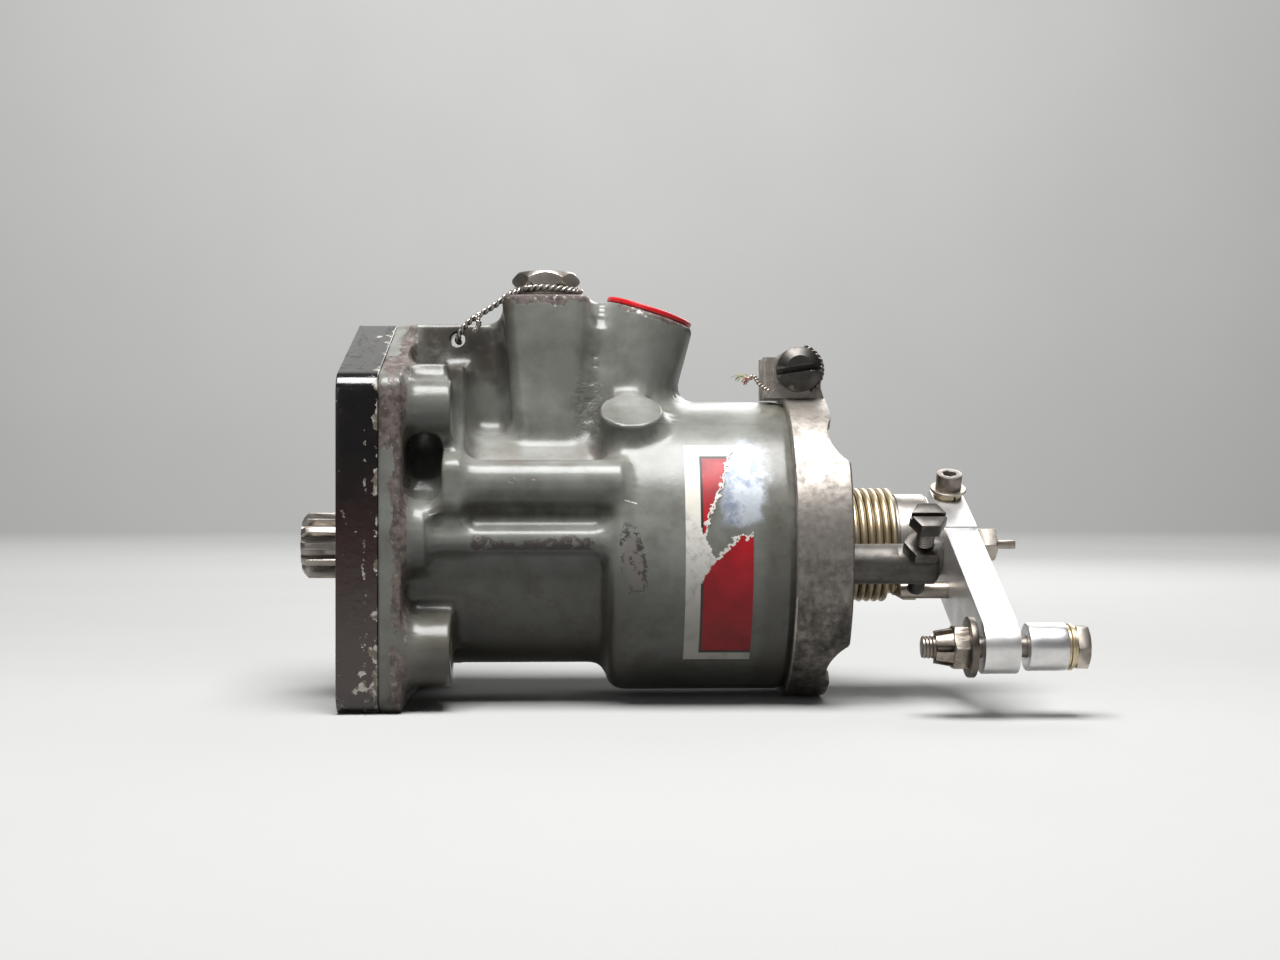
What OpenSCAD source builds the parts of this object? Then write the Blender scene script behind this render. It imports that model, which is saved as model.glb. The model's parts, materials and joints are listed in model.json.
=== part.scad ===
// Constant-speed propeller governor. A splined shaft drives a gear pump and a
// flyweight head, the weights lift a pilot valve against the speeder spring, and
// a lever on the cover sets that spring. The drive axis is X, the mounting face
// is the plane x = 0, and the relief valve stands up along Z.

/* [Drive spline] */
// Outside diameter of the splined end
spline_od = 16.5; // [15:0.1:17.5]
// Number of spline teeth
spline_teeth = 12; // [8:1:16]
// Depth of the spline teeth
spline_depth = 1.9; // [1:0.1:2.2]
// Length of the splined end outside the mounting face
spline_len = 12.5; // [10:0.5:24]

/* [Mounting flange] */
// Width of the flange beyond the stud holes
stud_edge = 9.2; // [8.7:0.1:10.5]
// Depth of the flange below the lower stud holes
low_edge = 14.2; // [13.4:0.1:16]
// Height of the front shoulder above the upper stud holes
shoulder_rise = 6.5; // [6.4:0.1:9]
// Height of the back shoulder above the upper stud holes
back_rise = 10; // [7:0.5:12]
// Height of the flange's top above the drive axis
apex_z = 56.5; // [54:0.5:59]
// Where the top of the flange begins, across the drive axis
apex_from = 12; // [4:1:16]
// Where the top of the flange ends
apex_to = 27; // [22:1:30]
// Radius of the flange's corners
pad_corner = 5; // [2:0.5:8]
// Thickness of the base plate
base_t = 9.7; // [8:0.1:12]
// Thickness of the body's flange
flange_t = 5.5; // [4:0.1:7]

/* [Mounting studs] */
// Radius of the stud holes
stud_r = 4.2; // [3.5:0.1:4.6]
// Spacing of the stud holes across the axis
stud_w = 58; // [56:0.5:60]
// Height of the upper stud holes
stud_top = 34; // [33:0.5:35]
// Depth of the lower stud holes below the axis
stud_low = 24; // [22:0.5:26]
// Radius of the upper stud bosses
boss_top_r = 6.4; // [5.8:0.1:7]
// Radius of the lower stud bosses
boss_low_r = 8.6; // [7.5:0.1:9.2]
// Length of the stud bosses beyond the flange
boss_len = 11.3; // [8:0.1:14]

/* [Body] */
// Radius of the neck between the flange and the barrel
neck_r = 29.5; // [28:0.5:31]
// Outside radius of the barrel
barrel_r = 36.3; // [35.5:0.1:37.5]
// Radius that rounds the barrel's shoulder
shoulder_r = 4.5; // [2:0.1:6]
// Where the barrel's shoulder stands
barrel_x = 63.3; // [60:0.1:66]
// Plane where the body and the cover meet
joint_x = 113.5; // [112.5:0.1:117]
// Wall of the barrel round the flyweights
bowl_wall = 4.3; // [3.8:0.1:5.5]
// Thickness of the bowl's floor behind the shoulder
floor_t = 3.9; // [3:0.1:5]
// Radius of the round boss on the barrel
round_boss_r = 7.8; // [6:0.1:9]
// Reach of the round boss from the axis
round_boss_reach = 40; // [38.5:0.1:43]
// Lean of the round boss from upright, towards the front
round_boss_lean = 33; // [20:1:40]

/* [Relief valve tower] */
// Where the tower stands along the drive axis
tower_x = 48.4; // [46.5:0.1:50]
// Height of the tower's top face
tower_z = 62.5; // [60:0.1:66]
// Length of the tower's top along the drive axis
tower_len = 21.8; // [19:0.1:24]
// Half depth of the tower, across the drive axis
tower_half = 12; // [10.5:0.1:13]
// Half depth of the tower's foot
tower_foot = 15.5; // [13:0.1:17]
// Half thickness of the web between the tower and the flange
web_half = 5; // [3.5:0.1:6]
// Radius of the lock wire's hole in the web
wire_hole_r = 1.95; // [1:0.05:2.2]
// Radius of the relief plunger
relief_r = 5; // [4:0.1:5.4]
// Travel of the relief plunger
relief_travel = 3; // [1:0.1:4]
// Across the flats of the relief plug
plug_af = 15; // [13:0.1:17]
// Height of the relief plug's hexagon
plug_h = 4.9; // [3.5:0.1:7]

/* [Angled port] */
// Lean of the port boss from upright, towards the cover
port_lean = 18; // [15:1:20]
// Where the port face stands along the drive axis
port_x = 74.3; // [72.5:0.1:76]
// Height of the port face's centre
port_z = 58.2; // [55:0.1:61]
// Radius of the port boss
port_r = 11.9; // [11:0.1:13]
// How much wider the control oil port is at its root
port_flare = 3; // [0:0.1:3.4]
// Height of the saddle between the tower and the port
saddle_z = 54; // [40:0.5:56]
// Radius of the port's bore
port_bore_r = 8.5; // [6:0.1:9]
// Thickness of the port cap's rim
cap_t = 1.4; // [0.8:0.1:2.5]

/* [Clamp] */
// How far the clamp band stands outside the barrel
band_rise = 1.7; // [1.6:0.1:2.6]
// Width of the clamp band
band_w = 13.6; // [12:0.1:15]
// Diameter of the clamp screw's head
clamp_head_d = 11.2; // [8:0.1:12]
// Height of the clamp screw above the band
clamp_screw_rise = 6; // [5.4:0.1:7]
// Thickness of each clamp lug
lug_t = 6; // [4:0.1:7]
// Radius that rounds the top of each clamp lug
lug_r = 5.7; // [5:0.1:6.4]
// Depth of the notches in the band's outer edge
notch_depth = 4.8; // [2:0.1:5.4]
// How much narrower the band is above and below its notches
notch_step = 3.4; // [0:0.1:3.8]

/* [Cover] */
// Where the cover's outer face stands
cover_x = 116.9; // [116.8:0.1:119]
// Radius of the cover's neck and of the spring's arbor
drum_r = 12.4; // [11:0.1:12.6]
// Radius of the hub beside the lever
hub_r = 12.9; // [11.5:0.1:13.3]
// Length of the cover's neck
neck_len = 12.1; // [10:0.1:13]
// Radius of the boss that holds the stop screw
stop_boss_r = 4.95; // [4.4:0.05:5.2]
// Length of the boss that holds the stop screw
stop_boss_len = 27.2; // [25.6:0.1:27.4]
// Distance of the stop boss from the drive axis
stop_boss_reach = 20.6; // [20.2:0.1:22]

/* [Springs] */
// Wire diameter of the lever's return spring
coil_wire = 1.75; // [1.2:0.05:1.9]
// Mean radius of the lever's return spring
coil_r = 13.6; // [13.5:0.05:14]
// Turns of the lever's return spring
coil_turns = 9; // [5:1:9]
// Space between the turns of the lever's return spring
coil_gap = 0.18; // [0.05:0.01:0.2]
// Wire diameter of the speeder spring
speeder_wire = 2.2; // [1.6:0.1:2.4]
// Turns of the speeder spring
speeder_turns = 5; // [3:1:6]

/* [Control lever] */
// Thickness of the lever
lever_t = 8.1; // [6:0.1:10]
// Where the lever's inner face stands
lever_x = 148.5; // [147.5:0.1:151]
// Distance from the shaft to the rod bolt
lever_reach = 53.6; // [45:0.1:62]
// Droop of the lever below the horizontal at the stop
lever_droop = 24; // [10:1:40]
// Half width of the lever's tip
lever_tip_r = 6; // [5:0.1:7]
// Radius of the control shaft in the lever
shaft_r = 4.42; // [3.8:0.01:4.6]
// Turn of the lever between its stops, in degrees
lever_turn = 85; // [60:1:90]

/* [Rod bolt] */
// Radius of the rod bolt
rod_r = 2.4; // [2:0.05:2.6]
// Across the flats of the bolt head and the castle nut
rod_af = 9.5; // [8:0.1:11]
// Length of the spacer
spacer_len = 9; // [5:0.1:16]
// Radius of the spacer
spacer_r = 5.5; // [4.5:0.1:7]
// Radius of the large washer
washer_r = 7; // [5.5:0.1:8]

/* [Gear pump] */
// Teeth of each pump gear
gear_teeth = 11; // [9:1:13]
// Distance between the pump gears' axes
gear_centres = 22; // [21.6:0.1:22.4]
// Width of the pump gears
gear_w = 12; // [8:0.1:13]

/* [Flyweights] */
// Distance of the weights' pivots from the drive axis
pivot_r = 14; // [13:0.1:15]
// Length of a weight's toe, from its pivot
toe_len = 6.6; // [5.5:0.1:7]
// Length of a weight beyond its pivot
weight_len = 19; // [14:0.1:22]

/* [Fits] */
// Radial clearance of a running or pressed fit
fit = 0.03; // [0.02:0.01:0.06]
// Clearance between parts that don't touch
gap = 0.3; // [0.2:0.05:0.4]

/* [Hidden] */
$fn = 48;

body_paint = [0.36, 0.39, 0.35];
black_paint = [0.09, 0.07, 0.07];
bare_steel = [0.62, 0.60, 0.56];
dark_steel = [0.30, 0.29, 0.28];
bright_aluminium = [0.82, 0.83, 0.84];
gold_zinc = [0.75, 0.62, 0.38];
cadmium = [0.60, 0.56, 0.46];
bronze = [0.66, 0.48, 0.26];
black_rubber = [0.08, 0.08, 0.08];
cap_red = [0.85, 0.10, 0.12];

band_r = barrel_r + band_rise;
bowl_r = barrel_r - bowl_wall;
pad_half = stud_w / 2 + stud_edge;
pad_low = stud_low + low_edge;
shoulder_z = stud_top + shoulder_rise;
back_z = stud_top + back_rise;
flange_x = base_t + flange_t;
boss_x = flange_x + boss_len;
studs = [for (s = [-1, 1], z = [stud_top, -stud_low]) [s * stud_w / 2, z]];
floor_x = barrel_x + floor_t;
shaft_journal_r = spline_od / 2 + 0.15;
bush_wall = 2.2;
bush_x = 2;
seal_groove = 1.15;

gear_addendum = 0.155 * gear_centres / 2;
gear_tip_r = gear_centres / 2 + gear_addendum;
gear_root_r = gear_centres - gear_tip_r - gap;
pocket_r = gear_tip_r + 0.08;
pocket_x = base_t + gear_w + 0.2;
idler_at = [0, gear_centres];
idler_pin_r = 4;
idler_pin_from = 4;
idler_pin_to = pocket_x + 6;
port_pocket_r = 3.6;
port_pocket_y = 12;
inlet_r = 3.2;
control_inlet_r = 3;
passage_r = 2.5;
supply_x = tower_x;
control_x = port_x - port_z * tan(port_lean);
gallery_at = [-29, 15.5];
gallery_r = 5.9;
column_from = flange_x + 9;
column_t = 4.8;
column_reach = 35.1;
column_y = 21.2;
saddle_half = tower_half - 3;
block_len = 11;
block_z = stud_top + 10.4;
block_low = 30;
block_y = 12;
hollow_y = 19;
rib_at = [31.2, 2.3];
rib_r = 3.2;
pad_disc_at = [28.6, 3.4];
pad_disc_r = 8.6;
pad_disc_t = 5.4;
wire_hole_at = [26.3, apex_z - 4.8];

base_screw_r = 2.1;
base_screw_head_r = 4;
base_screw_to = flange_x - 0.8;
base_screws_at = [[-19, 25], [19, 25], [-18, -17], [18, -17]];
dowel_r = 1.6;
dowels_at = [[-33, 6], [33, 6]];
dowel_depth = 4;

lip_r = band_r - 1.3;
lip_root_r = lip_r - 2.1;
lip_w = 2.2;
lip_cone = 0.8;
band_shift = 1;
band_leg_r = lip_root_r + gap;
band_from = joint_x + band_shift - band_w / 2;
band_to = band_from + band_w;
lug_gap = 3;
lug_from = lip_r + 0.2;
lug_flare = 2.2;
lug_skin = 2.4;
block_reach = 2.6;
clamp_screw_z = band_r + clamp_screw_rise;
clamp_screw_x = joint_x - 2.1;
notch_half = 9.6;
notch_turns = [42.4, 142];
clamp_nut_h = 4.2;
clamp_screw_r = 2.6;
clamp_nut_af = 9.5;

spigot_r = bowl_r - fit;
spigot_len = 6;
oring_r = 0.95;
pocket_floor_x = cover_x - 4.4;
cover_pocket_r = 24;

head_from = floor_x + 0.4;
head_plate_r = 24;
head_plate_x = head_from + 1.2;
head_plate_t = 3.6;
head_hub_r = 11.5;
head_lug_r = 3.4;
head_to = head_plate_x + head_plate_t;
shaft_to = head_to + 3;
ring_t = 1;
pivot_x = head_to + 4.8;
pin_r = 1.5;
weight_half = 6.2;
lug_half_t = 3;
toe_nose_r = 1.2;
toe_half = 3;
weight_eye_r = 3;
weight_thick = 7;
weight_slope = 2;

plunger_r = 4;
stem_r = 2.5;
bearing_x = pivot_x + toe_nose_r + gap;
bearing_w = 4.5;
bearing_r = 9.5;
seat_x = bearing_x + bearing_w;
seat_t = 2;
seat_r = 11;
seat_spigot_r = 6.6;
seat_spigot_h = 1.5;
pilot_travel = 2.5;
plunger_nut_x = seat_x + seat_t + seat_spigot_h;
plunger_nut_af = 8;
plunger_nut_h = 2.5;
stem_to = plunger_nut_x + plunger_nut_h + 1;
plunger_from = 20;

nut_flange_x = joint_x - 9.5;
nut_flange_t = 3.4;
nut_hub_r = 9;
nut_hub_from = nut_flange_x - 4;
nut_hub_to = nut_flange_x + nut_flange_t + 2;
nut_rim = 4;
guide_reach = 16;
guide_r = 1.55;
guide_from = nut_flange_x - 4;
guide_to = pocket_floor_x + 2.6;
speeder_low_r = seat_spigot_r + 0.4 + speeder_wire / 2;
speeder_high_r = nut_hub_r + 0.4 + speeder_wire / 2;

thread_r = 5;
thread_from = nut_hub_from - 3;
collar_t = 2.2;
collar_r = 7.5;
collar_x = pocket_floor_x - collar_t - 0.05;
neck_bore_r = 4.75;
neck_to = cover_x + neck_len;
drum_from = neck_to + gap;
drum_to = lever_x - 3.7;
drum_step_r = 8;
coil_from = cover_x + gap + coil_wire / 2;
coil_pitch = coil_wire + coil_gap;
coil_to = coil_from + coil_turns * coil_pitch;
lever_to = lever_x + lever_t;
shaft_nut_h = 5.4;
shaft_nut_af = 8;
shaft_stud_r = 2.4;
shaft_washer_t = 0.8;
tang_len = 4.4;
tang_t = 2.1;

stop_boss_turn = 191.2;
stop_boss_at = stop_boss_reach * [cos(stop_boss_turn), sin(stop_boss_turn)];
stop_pin_turn = 223.7;
stop_pin_reach = 15.8;
stop_pin_r = 2.1;
stop_pin_at = stop_pin_reach * [cos(stop_pin_turn), sin(stop_pin_turn)];
stop_pin_from = coil_to + coil_wire / 2 + 0.1;
coil_end_turn = stop_pin_turn + asin((stop_pin_r + coil_wire / 2 + 0.1) / stop_pin_reach);
coil_leg_depth = 1.6;
stop_screw_tilt = 44;
stop_screw_x = cover_x + stop_boss_len - 4.1;
stop_screw_r = 2.08;
stop_flat = stop_boss_r - 0.35;
stop_nut_h = 3;
stop_nut_af = 8.7;
stop_head_af = 7.8;
stop_head_h = 3.7;
stop_head_from = 13.4;

ear_to = 18;
ear_v = 8;
arm_v = 7.5;
hub_v = 11.2;
slit_w = 1.6;
lever_screw_a = 12.6;
lever_screw_r = 2.05;
lever_screw_head_r = 3.3;
lever_screw_head_h = 4;
lock_washer_r = 3.7;
lock_washer_t = 1.5;
lever_washer_t = 0.8;
lever_washer_r = 4.65;

rod_at = lever_reach * [-cos(lever_droop), -sin(lever_droop)];
washer_gap = 1.6;
washer_t = 1.6;
rod_washer_x = lever_x - washer_gap - washer_t;
castle_h = 7.6;
castle_slot_h = 3.9;
castle_slot_w = 1.6;
rod_from = rod_washer_x - castle_h - 2.8;
spacer_x = lever_to + 2.3;
thin_washer_t = 0.7;
thin_washers = 3;
rod_head_x = spacer_x + spacer_len + thin_washers * thin_washer_t;
rod_head_h = 3;

plug_gasket_t = 0.8;
plug_gasket_r = 9;
plug_neck_h = 0.6;
plug_cone = 2.4;
plug_neck_r = 6.9;
plug_shank_to = tower_z - 9;
relief_seat_z = 33.5;
relief_body_h = 12;
relief_bore_to = plug_shank_to;
relief_wire = 1;
relief_turns = 7;
plug_hollow = 2.6;

// Unit vector along v
function unit(v) = v / norm(v);

// Points of an arc that rounds corner b of the path a, b, c with radius r
function corner_arc(a, b, c, r, steps) =
    let (
        u = unit(a - b),
        w = unit(c - b),
        half = acos(u * w) / 2,
        middle = b + unit(u + w) * r / sin(half),
        from = b + u * r / tan(half) - middle,
        to = b + w * r / tan(half) - middle,
        start = atan2(from[1], from[0]),
        raw = atan2(to[1], to[0]) - start,
        turn = raw > 180 ? raw - 360 : raw < -180 ? raw + 360 : raw
    )
    [for (k = [0:steps]) middle + r * [cos(start + turn * k / steps), sin(start + turn * k / steps)]];

// Outline through points [x, y, radius], each corner rounded with its radius
function rounded(points, steps = 5) =
    let (n = len(points))
    [for (i = [0:n - 1])
        let (
            p = points[i],
            a = points[(i + n - 1) % n],
            c = points[(i + 1) % n]
        )
        each p[2] > 0
            ? corner_arc([a[0], a[1]], [p[0], p[1]], [c[0], c[1]], p[2], steps)
            : [[p[0], p[1]]]];

// Involute gear outline, with one tooth centred on the first axis
function gear_outline(teeth, centres, tip_r, root_r, backlash) =
    let (
        pressure = 28,
        pitch_r = centres / 2,
        base_r = pitch_r * cos(pressure),
        start = sqrt(max(root_r, base_r) ^ 2 / base_r ^ 2 - 1),
        end = sqrt(tip_r ^ 2 / base_r ^ 2 - 1),
        half = 90 / teeth - backlash / pitch_r * 90 / PI + (tan(pressure) * 180 / PI - pressure),
        steps = 5,
        flank = [for (k = [0:steps])
            let (t = start + (end - start) * k / steps)
            [base_r * sqrt(1 + t * t), half - (t * 180 / PI - atan(t))]]
    )
    [for (i = [0:teeth - 1])
        let (turn = 360 * i / teeth)
        each concat(
            [root_r * [cos(turn - half), sin(turn - half)]],
            [for (f = flank) f[0] * [cos(turn - f[1]), sin(turn - f[1])]],
            [for (k = [steps:-1:0]) flank[k][0] * [cos(turn + flank[k][1]), sin(turn + flank[k][1])]],
            [root_r * [cos(turn + half), sin(turn + half)]]
        )];

// Spline outline with straight-sided teeth
function spline_outline(teeth, tip_r, root_r) =
    let (pitch = 360 / teeth)
    [for (i = [0:teeth - 1], k = [[-0.31, root_r], [-0.19, tip_r], [0.19, tip_r], [0.31, root_r]])
        let (turn = pitch * (i + k[0]))
        k[1] * [cos(turn), sin(turn)]];

// Children drawn in the plane across the drive axis, with height along it
module along_x(x) translate([x, 0, 0]) rotate([90, 0, 90]) children();

// Children moved to a place [y, z] across the drive axis
module at_yz(p) translate([0, p[0], p[1]]) children();

// Cylinder along the drive axis
module rod_x(x1, x2, r) along_x(x1) cylinder(h = x2 - x1, r = r);

// Shape turned about the drive axis from points [radius, x]
module turned(points) along_x(0) rotate_extrude() polygon(points);

// Hexagonal bar along the drive axis
module hex_x(x1, x2, af) along_x(x1) cylinder(h = x2 - x1, r = af / sqrt(3), $fn = 6);

// Ring along the drive axis
module ring_x(x1, x2, r_out, r_in) {
    difference() {
        rod_x(x1, x2, r_out);
        rod_x(x1 - 1, x2 + 1, r_in);
    }
}

// Children in the plane of the port, with height out of its face
module at_port() translate([port_x, 0, port_z]) rotate([0, port_lean, 0]) children();

// Children on the stop screw's axis, with height towards its head
module at_stop_screw() {
    translate([stop_screw_x, stop_boss_at[0], stop_boss_at[1]]) rotate([stop_screw_tilt, 0, 0])
        children();
}

// Children in the lever's own plane: first axis away from the tip, second across it
module in_lever(x) translate([x, 0, 0]) rotate([lever_droop, 0, 0]) rotate([90, 0, 90]) children();

// Wire of radius r swept along points about an axis, closed at both ends
module wire(points, r, sides = 8, at = [0, 0, 0], axis = [1, 0, 0]) {
    n = len(points);
    rings = [for (i = [0:n - 1])
        let (
            ahead = unit(points[min(i + 1, n - 1)] - points[max(i - 1, 0)]),
            out = points[i] - at - ((points[i] - at) * axis) * axis,
            side = unit(cross(ahead, out)),
            up = cross(side, ahead)
        )
        [for (k = [0:sides - 1])
            points[i] + r * (cos(360 * k / sides) * side + sin(360 * k / sides) * up)]];
    polyhedron(
        points = [for (ring = rings) each ring],
        faces = concat(
            [[for (k = [0:sides - 1]) k]],
            [for (i = [0:n - 2], k = [0:sides - 1])
                [i * sides + k, (i + 1) * sides + k, (i + 1) * sides + (k + 1) % sides,
                    i * sides + (k + 1) % sides]],
            [[for (k = [sides - 1:-1:0]) (n - 1) * sides + k]]
        )
    );
}

// Outline shared by the base plate and the body's flange
module pad_outline() {
    polygon(rounded([
        [-pad_half, -pad_low, pad_corner],
        [pad_half, -pad_low, pad_corner],
        [pad_half, back_z, pad_corner],
        [apex_to, apex_z, pad_corner],
        [apex_from, apex_z, pad_corner],
        [-pad_half, shoulder_z, pad_corner]
    ]));
}

// Holes for the mounting studs
module stud_holes(x1, x2) {
    for (p = studs) at_yz(p) rod_x(x1, x2, stud_r);
}

// Base plate, with the bearing of the drive shaft and the oil ports
module base_plate() {
    color(black_paint) difference() {
        along_x(0) linear_extrude(base_t) pad_outline();
        stud_holes(-1, base_t + 1);
        rod_x(-1, base_t + 1, shaft_journal_r + fit + gap);
        rod_x(bush_x, base_t + 1, shaft_journal_r + bush_wall);
        at_yz(idler_at) rod_x(idler_pin_from, base_t + 1, idler_pin_r + fit);
        at_yz([-port_pocket_y, gear_centres / 2]) rod_x(-1, base_t + 1, inlet_r);
        at_yz(gallery_at) rod_x(-1, base_t + 1, control_inlet_r);
        for (p = base_screws_at) at_yz(p) {
            rod_x(-1, base_t + 1, base_screw_r + fit);
            turned([[0, -1], [base_screw_head_r + 1, -1], [base_screw_head_r, 0.2 + fit],
                [base_screw_r, base_screw_head_r - base_screw_r + 0.2 + fit], [0, base_screw_head_r]]);
        }
        for (p = dowels_at) at_yz(p) rod_x(base_t - dowel_depth, base_t + 1, dowel_r + fit);
    }
}

// Raised forms on the front (-1) or the back (1) of the neck
module neck_forms(side) {
    gallery = [-side * gallery_at[0], gallery_at[1]];
    at_yz(gallery) rod_x(column_from, floor_x, gallery_r);
    at_yz([side * rib_at[0], rib_at[1]]) rod_x(base_t + 1, floor_x, rib_r);
    translate([base_t + 1, side > 0 ? 0 : -rib_at[0], rib_at[1] - rib_r])
        cube([floor_x - base_t - 1, rib_at[0], 2 * rib_r]);
    at_yz([side * pad_disc_at[0], pad_disc_at[1]]) rod_x(base_t + 1, flange_x + pad_disc_t, pad_disc_r);
    along_x(column_from) linear_extrude(column_t) polygon(rounded([
        [side * column_reach, rib_at[1] + rib_r - 0.5, gallery_r],
        [side * column_reach, gallery_at[1] + 5, 4],
        [side * column_y, block_low - 1, 4],
        [side * column_y, block_z, 2],
        [0, block_z, 0],
        [0, rib_at[1] + rib_r - 0.5, 0]
    ]));
    translate([flange_x - 1, side > 0 ? block_y : -column_y - 5, block_low])
        cube([block_len, column_y + 5 - block_y, block_z - block_low]);
    translate([flange_x - 1, side > 0 ? 0 : -hollow_y, gallery_at[1] - 7])
        cube([block_len, hollow_y, block_low + 8 - gallery_at[1]]);
}

// Tower over the relief valve and the web that ties it to the flange
module relief_tower() {
    hull() {
        for (sx = [-1, 1], sy = [-1, 1]) {
            translate([tower_x + sx * (tower_len / 2 - 4), sy * (tower_half - 4), tower_z - 1])
                cylinder(h = 1, r = 4, $fn = 32);
            translate([tower_x + 1 + sx * (tower_len / 2 - 7), sy * (tower_foot - 4), gear_centres - 4])
                cylinder(h = 1, r = 4, $fn = 32);
        }
    }
    translate([flange_x - 1, -web_half, gear_centres - 7])
        cube([tower_x - flange_x, 2 * web_half, apex_z - gear_centres + 6]);
    translate([tower_x, -saddle_half, gear_centres - 7])
        cube([port_x - tower_x - 3, 2 * saddle_half, saddle_z + 7 - gear_centres]);
}

// Rounded outside of the barrel, with its clamping lip
module barrel_outside() {
    turned(concat(
        [[0, base_t + 1], [neck_r, base_t + 1], [neck_r, barrel_x]],
        [for (t = [0:15:90]) [barrel_r - shoulder_r + shoulder_r * sin(t),
            barrel_x + shoulder_r - shoulder_r * cos(t)]],
        [[barrel_r, band_from - gap - 0.4], [lip_root_r, band_from - gap],
            [lip_root_r, joint_x - lip_w - lip_cone],
            [lip_r, joint_x - lip_w], [lip_r, joint_x], [0, joint_x]]
    ));
}

// Cast body: flange, neck, tower, port boss and barrel
module body_casting() {
    color(body_paint) difference() {
        union() {
            along_x(base_t) linear_extrude(flange_t) pad_outline();
            barrel_outside();
            at_yz(idler_at) rod_x(base_t + 1, pocket_x + 3, pocket_r + 5);
            at_yz(idler_at) rod_x(base_t + 1, idler_pin_to + 2, idler_pin_r + 3.5);
            for (side = [-1, 1]) {
                at_yz([side * stud_w / 2, stud_top]) rod_x(base_t + 1, boss_x, boss_top_r);
                at_yz([side * stud_w / 2, -stud_low]) rod_x(base_t + 1, boss_x, boss_low_r);
                neck_forms(side);
            }
            relief_tower();
            at_port() translate([0, 0, -port_z])
                cylinder(h = port_z, r1 = port_r + port_flare, r2 = port_r);
            translate([barrel_x + 6, 0, 0]) rotate([round_boss_lean, 0, 0])
                cylinder(h = round_boss_reach, r = round_boss_r);
        }
        stud_holes(base_t - 1, boss_x + 1);
        rod_x(floor_x, joint_x + 1, bowl_r);
        rod_x(base_t - 1, floor_x + 1, shaft_journal_r + fit);
        rod_x(base_t - 1, pocket_x, pocket_r);
        at_yz(idler_at) rod_x(base_t - 1, pocket_x, pocket_r);
        at_yz(idler_at) rod_x(base_t - 1, idler_pin_to, idler_pin_r + fit);
        for (side = [-1, 1]) at_yz([side * port_pocket_y, gear_centres / 2])
            rod_x(base_t - 1, pocket_x, port_pocket_r);
        at_yz([port_pocket_y, gear_centres / 2]) rod_x(base_t - 1, supply_x + passage_r, passage_r);
        translate([supply_x, 0, 0]) rotate([atan2(-port_pocket_y, gear_centres / 2), 0, 0])
            cylinder(h = norm([port_pocket_y, gear_centres / 2]), r = passage_r - 0.2);
        at_yz(gallery_at) rod_x(base_t - 1, control_x + passage_r, passage_r);
        translate([control_x, 0, 0]) rotate([atan2(-gallery_at[0], gallery_at[1]), 0, 0])
            cylinder(h = norm(gallery_at), r = passage_r - 0.2);
        for (p = base_screws_at) at_yz(p) rod_x(base_t - 1, base_screw_to, base_screw_r + fit);
        for (p = dowels_at) at_yz(p) rod_x(base_t - 1, base_t + dowel_depth, dowel_r + fit);
        translate([tower_x, 0, relief_seat_z]) cylinder(h = tower_z, r = relief_r + fit);
        translate([tower_x, 0, 0]) cylinder(h = tower_z, r = relief_r - 2);
        translate([tower_x, 0, plug_shank_to - 0.5]) cylinder(h = tower_z, r = plug_neck_r + fit);
        at_port() translate([0, 0, -16]) cylinder(h = 20, r = port_bore_r);
        at_port() translate([0, 0, -port_z / cos(port_lean)])
            cylinder(h = port_z / cos(port_lean), r = passage_r);
        translate([wire_hole_at[0], 0, wire_hole_at[1]]) rotate([90, 0, 0])
            cylinder(h = 4 * web_half, r = wire_hole_r, center = true);
    }
}

// Cover with its spigot, neck and stop boss
module cover() {
    spigot_x = joint_x - spigot_len;
    color(bare_steel) difference() {
        union() {
            turned([[0, spigot_x], [spigot_r, spigot_x], [spigot_r, joint_x + 0.02],
                [lip_r, joint_x + 0.02],
                [lip_r, joint_x + lip_w], [lip_root_r, joint_x + lip_w + lip_cone],
                    [lip_root_r - 0.4, cover_x],
                [drum_r + 0.8, cover_x], [drum_r, cover_x + 0.6], [drum_r, neck_to], [0, neck_to]]);
            at_yz(stop_boss_at) {
                rod_x(cover_x - 1, cover_x + stop_boss_len - 1, stop_boss_r);
                turned([[0, cover_x], [stop_boss_r, cover_x + stop_boss_len - 1],
                    [stop_boss_r - 1, cover_x + stop_boss_len], [0, cover_x + stop_boss_len]]);
            }
        }
        rod_x(spigot_x - 1, pocket_floor_x, cover_pocket_r);
        rod_x(spigot_x - 1, neck_to + 1, neck_bore_r);
        for (side = [-1, 1]) at_yz([side * guide_reach, 0])
            rod_x(pocket_floor_x - 1, guide_to, guide_r + fit);
        ring_x(joint_x - 4, joint_x - 1.8, spigot_r + 1, spigot_r - 1.9);
        at_yz(coil_r * [cos(coil_end_turn), sin(coil_end_turn)])
            rod_x(cover_x - coil_leg_depth - 0.2, cover_x + 1, coil_wire / 2 + 0.1);
        at_stop_screw() {
            cylinder(h = 5 * stop_boss_r, r = stop_screw_r + fit, center = true);
            translate([-6, -6, stop_flat]) cube([12, 12, 6]);
        }
    }
}

// Seal ring in the groove of the cover's spigot
module cover_oring() {
    color(black_rubber) along_x(joint_x - 2.9) rotate_extrude() translate([spigot_r - 0.95, 0])
        circle(r = oring_r - 0.01, $fn = 24);
}

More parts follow.
